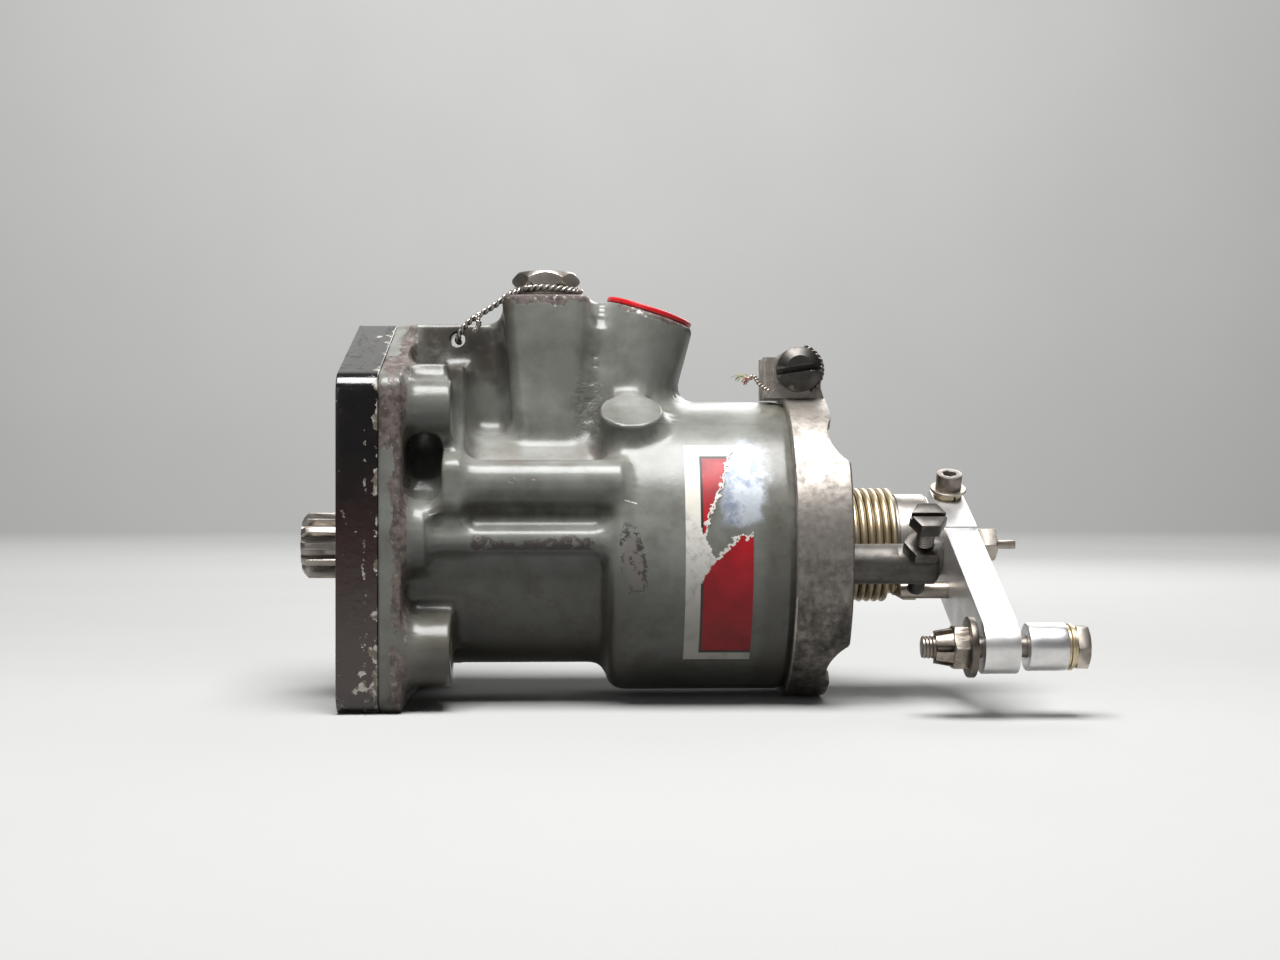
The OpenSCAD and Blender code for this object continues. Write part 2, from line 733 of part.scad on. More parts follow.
// Lug of the clamp band on the front (-1) or the back (1), round at the top, with its side block
module clamp_lug(side) {
    out = lug_gap + lug_t;
    translate([clamp_screw_x, side > 0 ? out : -lug_gap, 0]) rotate([90, 0, 0]) {
        translate([0, clamp_screw_z, 0]) cylinder(h = lug_t, r = lug_r);
        linear_extrude(lug_t) polygon([[-lug_r - lug_flare, lug_from],
            [min(lug_r + lug_flare, band_to - notch_step - clamp_screw_x), lug_from],
            [lug_r, lug_from + 2.5], [lug_r, clamp_screw_z], [-lug_r, clamp_screw_z],
                [-lug_r, lug_from + 2.5]]);
    }
    translate([clamp_screw_x - lug_r - block_reach, side > 0 ? lug_gap : lug_skin - out, lug_from])
        cube([lug_r + block_reach, lug_t - lug_skin, clamp_screw_z + 3.4 - lug_from]);
}

// V-section clamp band, open at the top between its two lugs
module clamp_band() {
    notch_r = (notch_half ^ 2 + notch_depth ^ 2) / (2 * notch_depth);
    color(bare_steel) difference() {
        union() {
            turned([[band_leg_r, band_from], [band_r - 0.4, band_from], [band_r, band_from + 0.4],
                [band_r, band_to - 0.4], [band_r - 0.4, band_to], [band_leg_r, band_to],
                [band_leg_r, joint_x + lip_w + lip_cone + gap], [lip_r + 0.15, joint_x + lip_w + gap],
                [lip_r + 0.15, joint_x - lip_w - gap], [band_leg_r, joint_x - lip_w - lip_cone - gap]]);
            for (side = [-1, 1]) clamp_lug(side);
        }
        translate([band_from - 1, -lug_gap, 0])
            cube([band_w + 2, 2 * lug_gap, clamp_screw_z + 2 * lug_r]);
        translate([clamp_screw_x, 0, clamp_screw_z]) rotate([90, 0, 0])
            cylinder(h = 4 * (lug_gap + lug_t), r = clamp_screw_r + fit, center = true);
        for (turn = notch_turns, side = [-1, 1]) rotate([side * turn, 0, 0])
            translate([band_to + notch_r - notch_depth, 0, band_r - 8]) cylinder(h = 12, r = notch_r);
        translate([band_to - notch_step, -band_r - 1, band_r * cos(notch_turns[0]) + 0.6])
            cube([10, 2 * band_r + 2, band_r]);
        translate([band_to - notch_step, -band_r - 1, band_r * cos(notch_turns[1]) - 0.6 - band_r])
            cube([10, 2 * band_r + 2, band_r]);
    }
}

// Slotted clamp screw, head to the front
module clamp_screw() {
    head_y = lug_gap + lug_t;
    color(dark_steel) translate([clamp_screw_x, 0, clamp_screw_z]) rotate([90, 0, 0]) difference() {
        union() {
            translate([0, 0, -head_y - 6]) cylinder(h = 2 * head_y + 6, r = clamp_screw_r);
            translate([0, 0, head_y]) cylinder(h = 3.2, r = clamp_head_d / 2);
            translate([0, 0, head_y + 3.2])
                cylinder(h = 1.6, r1 = clamp_head_d / 2, r2 = clamp_head_d / 2 - 2.2);
        }
        translate([0, 0, head_y + 3.4]) rotate([0, 0, 8])
            cube([clamp_head_d + 2, 1.5, 3.6], center = true);
    }
}

// Nut on the back of the clamp
module clamp_nut() {
    color(dark_steel) translate([clamp_screw_x, lug_gap + lug_t, clamp_screw_z]) rotate([-90, 0, 0])
        difference() {
        cylinder(h = clamp_nut_h, r = clamp_nut_af / sqrt(3), $fn = 6);
        translate([0, 0, -1]) cylinder(h = 7, r = clamp_screw_r + fit);
    }
}

// Relief plunger on its seat
module relief_plunger() {
    color(bare_steel) translate([tower_x, 0, relief_seat_z]) difference() {
        union() {
            cylinder(h = 2, r1 = relief_r - 1.6, r2 = relief_r);
            translate([0, 0, 2]) cylinder(h = relief_body_h - 2, r = relief_r);
        }
        translate([0, 0, 4]) cylinder(h = relief_body_h, r = relief_r - 1.2);
    }
}

// Spring between the relief plunger and its plug
module relief_spring() {
    low = relief_seat_z + 4 + relief_wire / 2 + 0.05;
    high = tower_z + plug_gasket_t - 5 - relief_wire / 2 - 0.05;
    steps = 18 * relief_turns;
    color(dark_steel) wire(
        [for (k = [0:steps])
            [tower_x + (relief_r - 2) * cos(20 * k), (relief_r - 2) * sin(20 * k),
                low + (high - low) * k / steps]],
        relief_wire / 2, 6, [tower_x, 0, 0], [0, 0, 1]
    );
}

// Soft metal ring under the relief plug
module relief_gasket() {
    color(bronze) translate([tower_x, 0, tower_z]) difference() {
        cylinder(h = plug_gasket_t, r = plug_gasket_r);
        translate([0, 0, -1]) cylinder(h = plug_gasket_t + 2, r = plug_neck_r + fit);
    }
}

// Hexagonal relief plug, hollow on top
module relief_plug() {
    neck_z = tower_z + plug_gasket_t;
    hex_z = neck_z + plug_neck_h;
    color(cadmium) translate([tower_x, 0, 0]) difference() {
        union() {
            translate([0, 0, plug_shank_to]) cylinder(h = neck_z - plug_shank_to, r = plug_neck_r);
            translate([0, 0, neck_z]) cylinder(h = plug_neck_h, r = plug_neck_r + 0.6);
            intersection() {
                translate([0, 0, hex_z]) cylinder(h = plug_h, r = plug_af / sqrt(3), $fn = 6);
                translate([0, 0, hex_z]) rotate_extrude() polygon([[0, 0], [plug_af / 2 - 0.7, 0],
                    [plug_af / sqrt(3) - 0.1, plug_cone], [plug_af / sqrt(3) - 0.1, plug_h - 1.7],
                    [plug_af / 2 - 0.3, plug_h], [0, plug_h]]);
            }
        }
        translate([0, 0, plug_shank_to - 1])
            cylinder(h = neck_z - plug_shank_to - 4, r = relief_r - 0.6);
        translate([0, 0, hex_z + plug_h - plug_hollow])
            cylinder(h = 4, r1 = plug_af / 2 - 3, r2 = plug_af / 2 - 0.2);
    }
}

// Push-in cap that closes the angled port
module port_cap() {
    color(cap_red) at_port() difference() {
        union() {
            cylinder(h = cap_t, r = port_r - 0.8);
            translate([0, 0, -7]) cylinder(h = 7, r = port_bore_r - 0.05);
        }
        translate([0, 0, -8]) cylinder(h = 7, r = port_bore_r - 1.4);
    }
}

// Bearing of the drive shaft in the base plate
module drive_bushing() {
    color(bronze) ring_x(bush_x + 0.02, base_t - 0.05, shaft_journal_r + bush_wall - fit,
        shaft_journal_r + fit);
}

// Countersunk screws that hold the base plate to the body
module base_screws() {
    color(dark_steel) for (p = base_screws_at) at_yz(p) difference() {
        union() {
            rod_x(base_screw_head_r - base_screw_r, base_screw_to - 0.4, base_screw_r);
            turned([[0, 0.2], [base_screw_head_r, 0.2],
                [base_screw_r, base_screw_head_r - base_screw_r + 0.2],
                [0, base_screw_head_r - base_screw_r + 0.2]]);
        }
        translate([0.6, 0, 0]) cube([2, 1, 10], center = true);
    }
}

// Dowels between the base plate and the body
module dowel_pins() {
    color(bare_steel) for (p = dowels_at) at_yz(p)
        rod_x(base_t - dowel_depth + 0.2, base_t + dowel_depth - 0.2, dowel_r);
}

// Fixed pin on which the idler gear turns
module idler_pin() {
    color(bare_steel) at_yz(idler_at) rod_x(idler_pin_from + 0.1, idler_pin_to - 0.1, idler_pin_r);
}

// Idler gear of the pump
module idler_gear() {
    color(bare_steel) at_yz(idler_at) difference() {
        along_x(base_t + 0.1) linear_extrude(gear_w)
            rotate(-90 + 180 / gear_teeth)
                polygon(gear_outline(gear_teeth, gear_centres, gear_tip_r, gear_root_r, 0.2));
        rod_x(base_t, pocket_x + 1, idler_pin_r + 0.05);
    }
}

// Drive shaft with its spline, pump gear and hollow valve sleeve
module drive_shaft() {
    spline_r = spline_od / 2;
    color(bare_steel) difference() {
        union() {
            intersection() {
                along_x(-spline_len) linear_extrude(spline_len - 0.4)
                    polygon(spline_outline(spline_teeth, spline_r, spline_r - spline_depth));
                turned([[0, -spline_len], [spline_r - 1.4, -spline_len],
                    [spline_r + 0.1, 1.4 - spline_len], [spline_r + 0.1, 0], [0, 0]]);
            }
            rod_x(-1.6, base_t + 0.1, shaft_journal_r);
            along_x(base_t + 0.1) linear_extrude(gear_w)
                rotate(90) polygon(gear_outline(gear_teeth, gear_centres, gear_tip_r, gear_root_r,
                    0.2));
            rod_x(base_t + gear_w, shaft_to, shaft_journal_r);
        }
        rod_x(plunger_from - 6, shaft_to + 1, plunger_r);
        for (x = [supply_x, control_x]) {
            ring_x(x - 2.2, x + 2.2, shaft_journal_r + 1, shaft_journal_r - 1.5);
            for (turn = [0, 90]) rotate([turn, 0, 0]) translate([x, 0, 0])
                cylinder(h = 3 * shaft_journal_r, r = 1.4, center = true);
        }
        ring_x(head_to + 0.05, head_to + 0.05 + ring_t, shaft_journal_r + 1, shaft_journal_r - 0.8);
    }
}

// Head that carries the flyweights, with two pairs of lugs
module flyweight_head() {
    color(dark_steel) difference() {
        union() {
            rod_x(head_from, head_plate_x + 0.1, head_hub_r);
            rod_x(head_plate_x, head_to, head_plate_r);
            for (side = [-1, 1], end = [-1, 1]) hull() {
                translate([pivot_x, side * pivot_r, end * (weight_half + gap + lug_half_t / 2)])
                    cylinder(h = lug_half_t, r = head_lug_r, center = true, $fn = 32);
                translate([head_to - 0.5, side * pivot_r - head_lug_r,
                    end * (weight_half + gap + lug_half_t / 2) - lug_half_t / 2])
                    cube([0.5, 2 * head_lug_r, lug_half_t]);
            }
        }
        rod_x(head_from - 1, head_to + 1, shaft_journal_r + fit);
        for (side = [-1, 1]) translate([pivot_x, side * pivot_r, 0])
            cylinder(h = 40, r = pin_r + fit, center = true);
    }
}

// Snap ring that keeps the head on the shaft
module head_ring() {
    color(dark_steel) difference() {
        ring_x(head_to + 0.1, head_to + ring_t, shaft_journal_r + 1.6, shaft_journal_r - 0.75);
        translate([head_to - 1, -1.2, 0]) cube([4, 2.4, 20]);
    }
}

// Pivot pins of the flyweights
module weight_pins() {
    pin_half = weight_half + gap + lug_half_t;
    color(bare_steel) for (side = [-1, 1]) translate([pivot_x, side * pivot_r, 0])
        cylinder(h = 2 * pin_half, r = pin_r, center = true);
}

// Flyweight with its mass, pivot eye and toe; side is its side of the axis
module flyweight(side) {
    color(bronze) difference() {
        union() {
            translate([pivot_x, side * pivot_r, 0])
                cylinder(h = 2 * weight_half, r = weight_eye_r, center = true);
            translate([0, 0, -weight_half]) linear_extrude(2 * weight_half) polygon([
                [pivot_x - 1, side * pivot_r], [pivot_x + weight_len, side * (pivot_r - 0.5)],
                [pivot_x + weight_len, side * (pivot_r + weight_thick - weight_slope)],
                [pivot_x + weight_len - weight_slope, side * (pivot_r + weight_thick)],
                [pivot_x + weight_slope, side * (pivot_r + weight_thick)],
                [pivot_x - weight_slope, side * (pivot_r + weight_eye_r - 0.8)]]);
            translate([pivot_x - toe_nose_r, side > 0 ? pivot_r - toe_len : -pivot_r, -toe_half])
                cube([2 * toe_nose_r, toe_len, 2 * toe_half]);
            translate([pivot_x, side * (pivot_r - toe_len), 0])
                cylinder(h = 2 * toe_half, r = toe_nose_r, center = true);
        }
        translate([pivot_x, side * pivot_r, 0]) cylinder(h = 30, r = pin_r + 0.05, center = true);
    }
}

// Front flyweight
module flyweight_front() flyweight(-1);

// Back flyweight
module flyweight_back() flyweight(1);

// Pilot valve plunger with its lands
module pilot_plunger() {
    r = plunger_r - fit;
    waist = r - 1.2;
    color(bare_steel) turned([
        [0, plunger_from], [r, plunger_from], [r, supply_x - 5], [waist, supply_x - 4],
            [waist, control_x - 2.8],
        [r, control_x - 2], [r, control_x + 2], [waist, control_x + 2.8], [waist, control_x + 9],
            [r, control_x + 10],
        [r, bearing_x], [stem_r - fit, bearing_x], [stem_r - fit, stem_to], [0, stem_to]]);
}

// Ball bearing between the toes and the spring seat
module thrust_bearing() {
    race = bearing_w * 0.3;
    color(bare_steel) {
        difference() {
            turned([[stem_r, bearing_x], [bearing_r, bearing_x], [bearing_r, bearing_x + race],
                [stem_r + 1.4, bearing_x + race], [stem_r + 1.4, seat_x - race],
                    [bearing_r, seat_x - race],
                [bearing_r, seat_x], [stem_r, seat_x]]);
        }
        for (turn = [0:45:315]) rotate([turn, 0, 0])
            translate([bearing_x + bearing_w / 2, 0, bearing_r - 2.6])
            sphere(r = bearing_w * 0.2 + 0.02, $fn = 24);
    }
}

// Lower seat of the speeder spring
module spring_seat() {
    color(dark_steel) turned([[stem_r, seat_x], [seat_r, seat_x], [seat_r, seat_x + seat_t],
        [seat_spigot_r, seat_x + seat_t],
        [seat_spigot_r, plunger_nut_x], [stem_r, plunger_nut_x]]);
}

// Nut that holds the bearing and the seat on the plunger
module plunger_nut() {
    color(dark_steel) difference() {
        hex_x(plunger_nut_x, plunger_nut_x + plunger_nut_h, plunger_nut_af);
        rod_x(plunger_nut_x - 1, stem_to + 1, stem_r);
    }
}

// Conical speeder spring
module speeder_spring() {
    low = seat_x + seat_t + speeder_wire / 2 + 0.05;
    high = nut_flange_x - speeder_wire / 2 - 0.05;
    steps = 14 * speeder_turns;
    color(dark_steel) wire(
        [for (k = [0:steps])
            let (
                s = k / steps,
                climb = s < 0.12 ? s * 0.25 : s > 0.88 ? 1 - (1 - s) * 0.25 : 0.03 + (s -
                    0.12) / 0.76 * 0.94,
                r = speeder_low_r + (speeder_high_r - speeder_low_r) * min(1, s / 0.7)
            )
            [low + (high - low) * climb, r * cos(360 * k / 14), r * sin(360 * k / 14)]],
        speeder_wire / 2
    );
}

// Travelling nut that presses on the speeder spring
module speeder_nut() {
    color(bronze) difference() {
        union() {
            rod_x(nut_hub_from, nut_hub_to, nut_hub_r);
            rod_x(nut_flange_x, nut_flange_x + nut_flange_t, guide_reach + nut_rim);
        }
        rod_x(nut_hub_from - 1, nut_hub_to + 1, thread_r + 0.05);
        for (side = [-1, 1]) at_yz([side * guide_reach, 0])
            rod_x(nut_hub_from - 1, nut_hub_to + 1, guide_r + 0.05);
    }
}

// Pins in the cover that keep the travelling nut from turning
module guide_pins() {
    color(bare_steel) for (side = [-1, 1]) at_yz([side * guide_reach, 0])
        rod_x(guide_from, guide_to - 0.1, guide_r);
}

// Control shaft, from its threaded inner end to the flattened outer end
module control_shaft() {
    stud_to = lever_to + shaft_washer_t + shaft_nut_h + 0.6;
    color(bare_steel) difference() {
        union() {
            rod_x(thread_from, collar_x + 0.1, thread_r);
            rod_x(collar_x, pocket_floor_x - 0.05, collar_r);
            rod_x(pocket_floor_x - 0.1, drum_from, neck_bore_r - fit);
            rod_x(drum_from - 0.1, lever_to - 0.2, shaft_r);
            rod_x(lever_to - 0.3, stud_to, shaft_stud_r);
            intersection() {
                rod_x(stud_to - 0.1, stud_to + tang_len, shaft_stud_r);
                translate([stud_to, -5, -tang_t / 2]) cube([tang_len, 10, tang_t]);
            }
        }
        ring_x(neck_to - 3.6, neck_to - 2.2, neck_bore_r + 1, neck_bore_r - seal_groove);
    }
}

// Seal ring on the control shaft
module shaft_oring() {
    color(black_rubber) along_x(neck_to - 2.9) rotate_extrude()
        translate([neck_bore_r - seal_groove / 2, 0]) circle(r = seal_groove / 2 - 0.02, $fn = 24);
}

// Arbor of the return spring, with the hub beside the lever
module spring_drum() {
    color(bare_steel) difference() {
        union() {
            rod_x(drum_from, drum_to, drum_r);
            turned([[0, coil_to + coil_wire / 2 + gap], [hub_r, coil_to + coil_wire / 2 + gap],
                [hub_r, drum_to - 0.8],
                [hub_r - 0.8, drum_to], [drum_step_r, drum_to], [drum_step_r, lever_x - 0.02],
                    [0, lever_x - 0.02]]);
        }
        rod_x(drum_from - 1, lever_x + 1, shaft_r + fit);
    }
}

// Return spring of the lever: one end in the cover, the other beside the stop pin
module torsion_spring() {
    steps = 24 * coil_turns;
    end = [cos(coil_end_turn), sin(coil_end_turn)];
    side_r = coil_wire / 2;
    color(gold_zinc) wire(
        concat(
            [[cover_x - coil_leg_depth, coil_r * end[0], coil_r * end[1]]],
            [for (k = [0:steps - 1]) [coil_from + coil_pitch * coil_turns * k / steps,
                coil_r * cos(coil_end_turn + 15 * k), coil_r * sin(coil_end_turn + 15 * k)]],
            [for (leg = [[0.4, 0.1], [1.4, 0.55], [2.6, 1], [5.5, 1]])
                let (r = coil_r + (stop_pin_reach * cos(coil_end_turn - stop_pin_turn) - coil_r) *
                    leg[1])
                [coil_to + leg[0], r * end[0], r * end[1]]]
        ),
        side_r
    );
}

// High speed stop screw, hexagonal head with a slot
module stop_screw() {
    tip = stop_pin_reach_along() - stop_pin_r - 0.05;
    color(dark_steel) at_stop_screw() difference() {
        union() {
            translate([0, 0, -tip]) cylinder(h = tip + stop_head_from + 0.1, r = stop_screw_r);
            translate([0, 0, stop_head_from])
                cylinder(h = stop_head_h, r = stop_head_af / sqrt(3), $fn = 6);
        }
        translate([0, 0, stop_head_from + stop_head_h]) cube([10, 1.2, 2.4], center = true);
    }
}

// Distance from the stop boss to the stop pin along the stop screw
function stop_pin_reach_along() =
    (stop_pin_at - stop_boss_at) * [sin(stop_screw_tilt), -cos(stop_screw_tilt)];

// Jam nut of the stop screw
module stop_nut() {
    color(cadmium) at_stop_screw() translate([0, 0, stop_flat + 0.02]) difference() {
        cylinder(h = stop_nut_h, r = stop_nut_af / sqrt(3), $fn = 6);
        translate([0, 0, -1]) cylinder(h = 6, r = stop_screw_r + fit);
    }
}

// Outline of the lever, in its own plane
module lever_outline() {
    polygon(rounded([
        [-lever_reach - lever_tip_r, lever_tip_r, lever_tip_r - 0.1],
        [-lever_reach - lever_tip_r, -lever_tip_r, lever_tip_r - 0.1],
        [-32, -lever_tip_r - 0.6, 14],
        [-23, -hub_v, 6],
        [4, -hub_v, 8],
        [11, -7, 6],
        [ear_to, -7, 2.5],
        [ear_to, ear_v, 2.5],
        [-6, ear_v, 0],
        [-6, arm_v, 0]
    ]));
}

// Aluminium control lever, split and clamped on the shaft
module control_lever() {
    color(bright_aluminium) difference() {
        in_lever(lever_x) linear_extrude(lever_t) lever_outline();
        rod_x(lever_x - 1, lever_to + 1, shaft_r + fit);
        in_lever(lever_x - 1) {
            translate([-lever_reach, 0, 0]) cylinder(h = lever_t + 2, r = rod_r + 0.1);
            translate([shaft_r, -slit_w / 2, 0]) cube([ear_to, slit_w, lever_t + 2]);
        }
        at_yz(stop_pin_at) rod_x(lever_x - 1, lever_to + 1, stop_pin_r + fit);
        in_lever(lever_x + lever_t / 2) translate([lever_screw_a, 0, 0]) rotate([90, 0, 0])
            cylinder(h = 40, r = lever_screw_r + 0.1, center = true);
    }
}

// Pin on the lever that meets the stop screw
module stop_pin() {
    color(cadmium) at_yz(stop_pin_at) rod_x(stop_pin_from, lever_to - 0.5, stop_pin_r);
}

// Children on the lever's clamp screw, with height away from the lever's edge
module at_lever_screw(v) {
    in_lever(lever_x + lever_t / 2) translate([lever_screw_a, v, 0]) rotate([-90, 0, 0]) children();
}

// Socket-head screw that clamps the lever on its shaft
module lever_screw() {
    head_v = ear_v + lock_washer_t + lever_washer_t;
    color(dark_steel) at_lever_screw(head_v) difference() {
        union() {
            translate([0, 0, -head_v - 6.5]) cylinder(h = head_v + 6.6, r = lever_screw_r);
            cylinder(h = lever_screw_head_h, r = lever_screw_head_r);
        }
        translate([0, 0, lever_screw_head_h - 2.2]) cylinder(h = 4, r = 1.9, $fn = 6);
    }
}

// Split lock washer of the lever's clamp screw
module lever_lock_washer() {
    color(gold_zinc) at_lever_screw(ear_v) difference() {
        cylinder(h = lock_washer_t, r = lock_washer_r);
        translate([0, 0, -1]) cylinder(h = 4, r = lever_screw_r + 0.1);
        rotate([0, 0, 200]) translate([0, -0.3, -1]) cube([6, 0.6, 4]);
    }
}

// Plain washer under the clamp screw's head
module lever_washer() {
    color(bare_steel) at_lever_screw(ear_v + lock_washer_t) difference() {
        cylinder(h = lever_washer_t, r = lever_washer_r);
        translate([0, 0, -1]) cylinder(h = 4, r = lever_screw_r + 0.1);
    }
}

// Nut and washer on the end of the control shaft
module shaft_nut() {
    color(cadmium) difference() {
        union() {
            rod_x(lever_to, lever_to + shaft_washer_t, shaft_nut_af / 2 + 1);
            intersection() {
                hex_x(lever_to + shaft_washer_t - 0.1, lever_to + shaft_washer_t + shaft_nut_h,
                    shaft_nut_af);
                turned([[0, lever_to], [6, lever_to], [6, lever_to + shaft_nut_h - 0.9],
                    [shaft_nut_af / 2, lever_to + shaft_washer_t + shaft_nut_h],
                    [0, lever_to + shaft_washer_t + shaft_nut_h]]);
            }
        }
        rod_x(lever_to - 1, lever_to + 10, shaft_stud_r + fit);
    }
}

// Bolt that holds the control rod's end
module rod_bolt() {
    color(bare_steel) at_yz(rod_at) {
        rod_x(rod_from, rod_head_x + 0.1, rod_r);
        intersection() {
            hex_x(rod_head_x, rod_head_x + rod_head_h, rod_af);
            turned([[0, rod_head_x], [7, rod_head_x], [7, rod_head_x + rod_head_h - 1],
                [rod_af / 2 - 0.2, rod_head_x + rod_head_h], [0, rod_head_x + rod_head_h]]);
        }
    }
}

// Spacer on the rod bolt
module rod_spacer() {
    color(bright_aluminium) at_yz(rod_at)
        ring_x(spacer_x, spacer_x + spacer_len, spacer_r, rod_r + 0.1);
}

// Thin washers between the spacer and the bolt's head
module rod_thin_washers() {
    color(gold_zinc) at_yz(rod_at) for (i = [0:thin_washers - 1])
        ring_x(spacer_x + spacer_len + i * thin_washer_t,
            spacer_x + spacer_len + (i + 1) * thin_washer_t - 0.04,
            spacer_r - (i == 1 ? 0.1 : 0.5), rod_r + 0.1);
}

// Large washer under the castle nut
module rod_washer() {
    color(cadmium) at_yz(rod_at) ring_x(rod_washer_x, rod_washer_x + washer_t, washer_r, rod_r + 0.1);
}

// Castle nut on the rod bolt
module castle_nut() {
    color(cadmium) at_yz(rod_at) difference() {
        union() {
            intersection() {
                hex_x(rod_washer_x - castle_h + castle_slot_h, rod_washer_x, rod_af);
                turned([[0, 0], [rod_af / 2 - 0.3, rod_washer_x - castle_h + castle_slot_h],
                    [7, rod_washer_x - castle_h + castle_slot_h + 1.2], [7, rod_washer_x - 0.6],
                    [rod_af / 2, rod_washer_x], [0, rod_washer_x]]);
            }
            turned([[0, rod_washer_x - castle_h], [rod_af / 2 - 1, rod_washer_x - castle_h],
                [rod_af / 2 - 0.3, rod_washer_x - castle_h + castle_slot_h + 0.1],
                [0, rod_washer_x - castle_h + castle_slot_h + 0.1]]);
        }
        rod_x(rod_washer_x - castle_h - 1, rod_washer_x + 1, rod_r + fit);
        for (turn = [0:60:120]) rotate([turn, 0, 0])
            translate([rod_washer_x - castle_h - 1, -rod_af, -castle_slot_w / 2])
            cube([castle_slot_h + 1, 2 * rod_af, castle_slot_w]);
    }
}

base_plate();
body_casting();
cover();
cover_oring();
clamp_band();
clamp_screw();
clamp_nut();
relief_plunger();
relief_spring();
relief_gasket();
relief_plug();
port_cap();
drive_bushing();
base_screws();
dowel_pins();
idler_pin();
idler_gear();
drive_shaft();
flyweight_head();
head_ring();
weight_pins();
flyweight_front();
flyweight_back();
pilot_plunger();
thrust_bearing();
spring_seat();
plunger_nut();
speeder_spring();
speeder_nut();
guide_pins();
control_shaft();
shaft_oring();
spring_drum();
torsion_spring();
stop_screw();
stop_nut();
control_lever();
stop_pin();
lever_screw();
lever_lock_washer();
lever_washer();
shaft_nut();
rod_bolt();
rod_spacer();
rod_thin_washers();
rod_washer();
castle_nut();
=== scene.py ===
# %% [markdown]
# A propeller governor lies on its side: a splined drive at the left, a painted cast body, a
# clamped cover, and a control lever at the right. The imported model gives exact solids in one
# frame, in metres, with X along the drive axis. They could all be modelled again here, but they
# already fit and move, so this lesson only dresses them: the casting gets its soft fillets, the
# hardware gets bevels and threads, and each metal and paint gets its wear.

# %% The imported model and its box
import json
import math

import bmesh
import bpy
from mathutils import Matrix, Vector, noise

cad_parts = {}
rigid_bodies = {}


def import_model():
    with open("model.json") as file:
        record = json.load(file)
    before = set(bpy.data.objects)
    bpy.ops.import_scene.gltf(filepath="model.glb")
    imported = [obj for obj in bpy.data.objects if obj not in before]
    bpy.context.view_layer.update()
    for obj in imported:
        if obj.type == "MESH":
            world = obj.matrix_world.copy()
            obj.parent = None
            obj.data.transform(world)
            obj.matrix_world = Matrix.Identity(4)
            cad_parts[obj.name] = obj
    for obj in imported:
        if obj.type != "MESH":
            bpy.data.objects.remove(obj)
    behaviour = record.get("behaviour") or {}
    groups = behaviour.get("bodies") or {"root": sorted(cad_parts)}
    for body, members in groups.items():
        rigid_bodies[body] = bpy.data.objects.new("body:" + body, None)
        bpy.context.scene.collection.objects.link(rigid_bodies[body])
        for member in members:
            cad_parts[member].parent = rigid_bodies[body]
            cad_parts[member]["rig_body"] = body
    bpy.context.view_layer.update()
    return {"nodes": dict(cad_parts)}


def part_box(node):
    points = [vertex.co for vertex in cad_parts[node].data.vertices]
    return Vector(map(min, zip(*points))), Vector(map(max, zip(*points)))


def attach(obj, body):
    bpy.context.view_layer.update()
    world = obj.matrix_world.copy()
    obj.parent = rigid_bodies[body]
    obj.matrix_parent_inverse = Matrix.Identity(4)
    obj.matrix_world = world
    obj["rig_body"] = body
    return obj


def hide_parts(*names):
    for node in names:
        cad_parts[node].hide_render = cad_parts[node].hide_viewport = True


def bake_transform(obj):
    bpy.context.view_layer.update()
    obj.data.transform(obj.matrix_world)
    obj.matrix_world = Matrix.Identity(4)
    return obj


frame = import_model()
nodes = frame["nodes"]
MM = 0.001

# %% [markdown]
# The camera stands level with the upper half of the body, a little under half a metre away, and
# is turned two degrees towards the lever. A longer lens from farther off would hide how the flange
# recedes, so place and lens both come from measured points: 1871 pixels of focal length over a
# width of 1280 is 52.6 mm on a 36 mm sensor.

# %% Camera
focal_pixels = 1871
picture_width = 1280
camera_turn = math.radians(-2.2)
camera_data = bpy.data.cameras.new("camera")
camera = bpy.data.objects.new("camera", camera_data)
bpy.context.scene.collection.objects.link(camera)
camera_data.sensor_width = 36
camera_data.lens = 36 * focal_pixels / picture_width
camera_data.clip_start = 0.05
camera_data.clip_end = 20
camera.location = (54.0 * MM, -474.7 * MM, 16.5 * MM)
camera.rotation_euler = (math.pi / 2, 0, camera_turn)
bpy.context.scene.camera = camera
print("lens in mm", round(camera_data.lens, 1))

# %% [markdown]
# The governor lies on a plain table before a plain wall. Two planes would meet in a line behind
# it, so floor and backdrop are one sheet that curves up, and no horizon cuts the picture. A plane
# is laid under the flange, its far edge is extruded up, and the fold is bevelled wide.


# %% Floor and backdrop
def only(piece):
    """Makes piece the one selected and active object."""
    bpy.ops.object.select_all(action="DESELECT")
    piece.select_set(True)
    bpy.context.view_layer.objects.active = piece


def select_edges(piece, wanted):
    """Selects the edges in edit mode whose two ends both pass the test."""
    bpy.ops.mesh.select_all(action="DESELECT")
    mesh = bmesh.from_edit_mesh(piece.data)
    for edge in mesh.edges:
        edge.select_set(all(wanted(vertex.co) for vertex in edge.verts))
    bmesh.update_edit_mesh(piece.data)


floor_z = min(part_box("base_plate")[0].z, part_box("clamp_band")[0].z)
wall_y = 1
bpy.ops.object.select_all(action="DESELECT")
bpy.ops.mesh.primitive_plane_add(size=1, location=(0.07, 0, floor_z))
floor = bpy.context.active_object
floor.name = "floor"
floor.scale = (6, 3, 1)
bpy.ops.object.transform_apply(location=True, rotation=True, scale=True)
bpy.ops.object.mode_set(mode="EDIT")
select_edges(floor, lambda spot: spot.y > wall_y)
bpy.ops.mesh.extrude_region_move(TRANSFORM_OT_translate={"value": (0, 0, 2.2)})
select_edges(floor, lambda spot: spot.y > wall_y and spot.z < floor_z + 0.01)
bpy.ops.mesh.bevel(offset=0.7, segments=16)
bpy.ops.object.mode_set(mode="OBJECT")
bpy.ops.object.shade_smooth()
print("floor at z", round(floor_z / MM, 1), "mm")

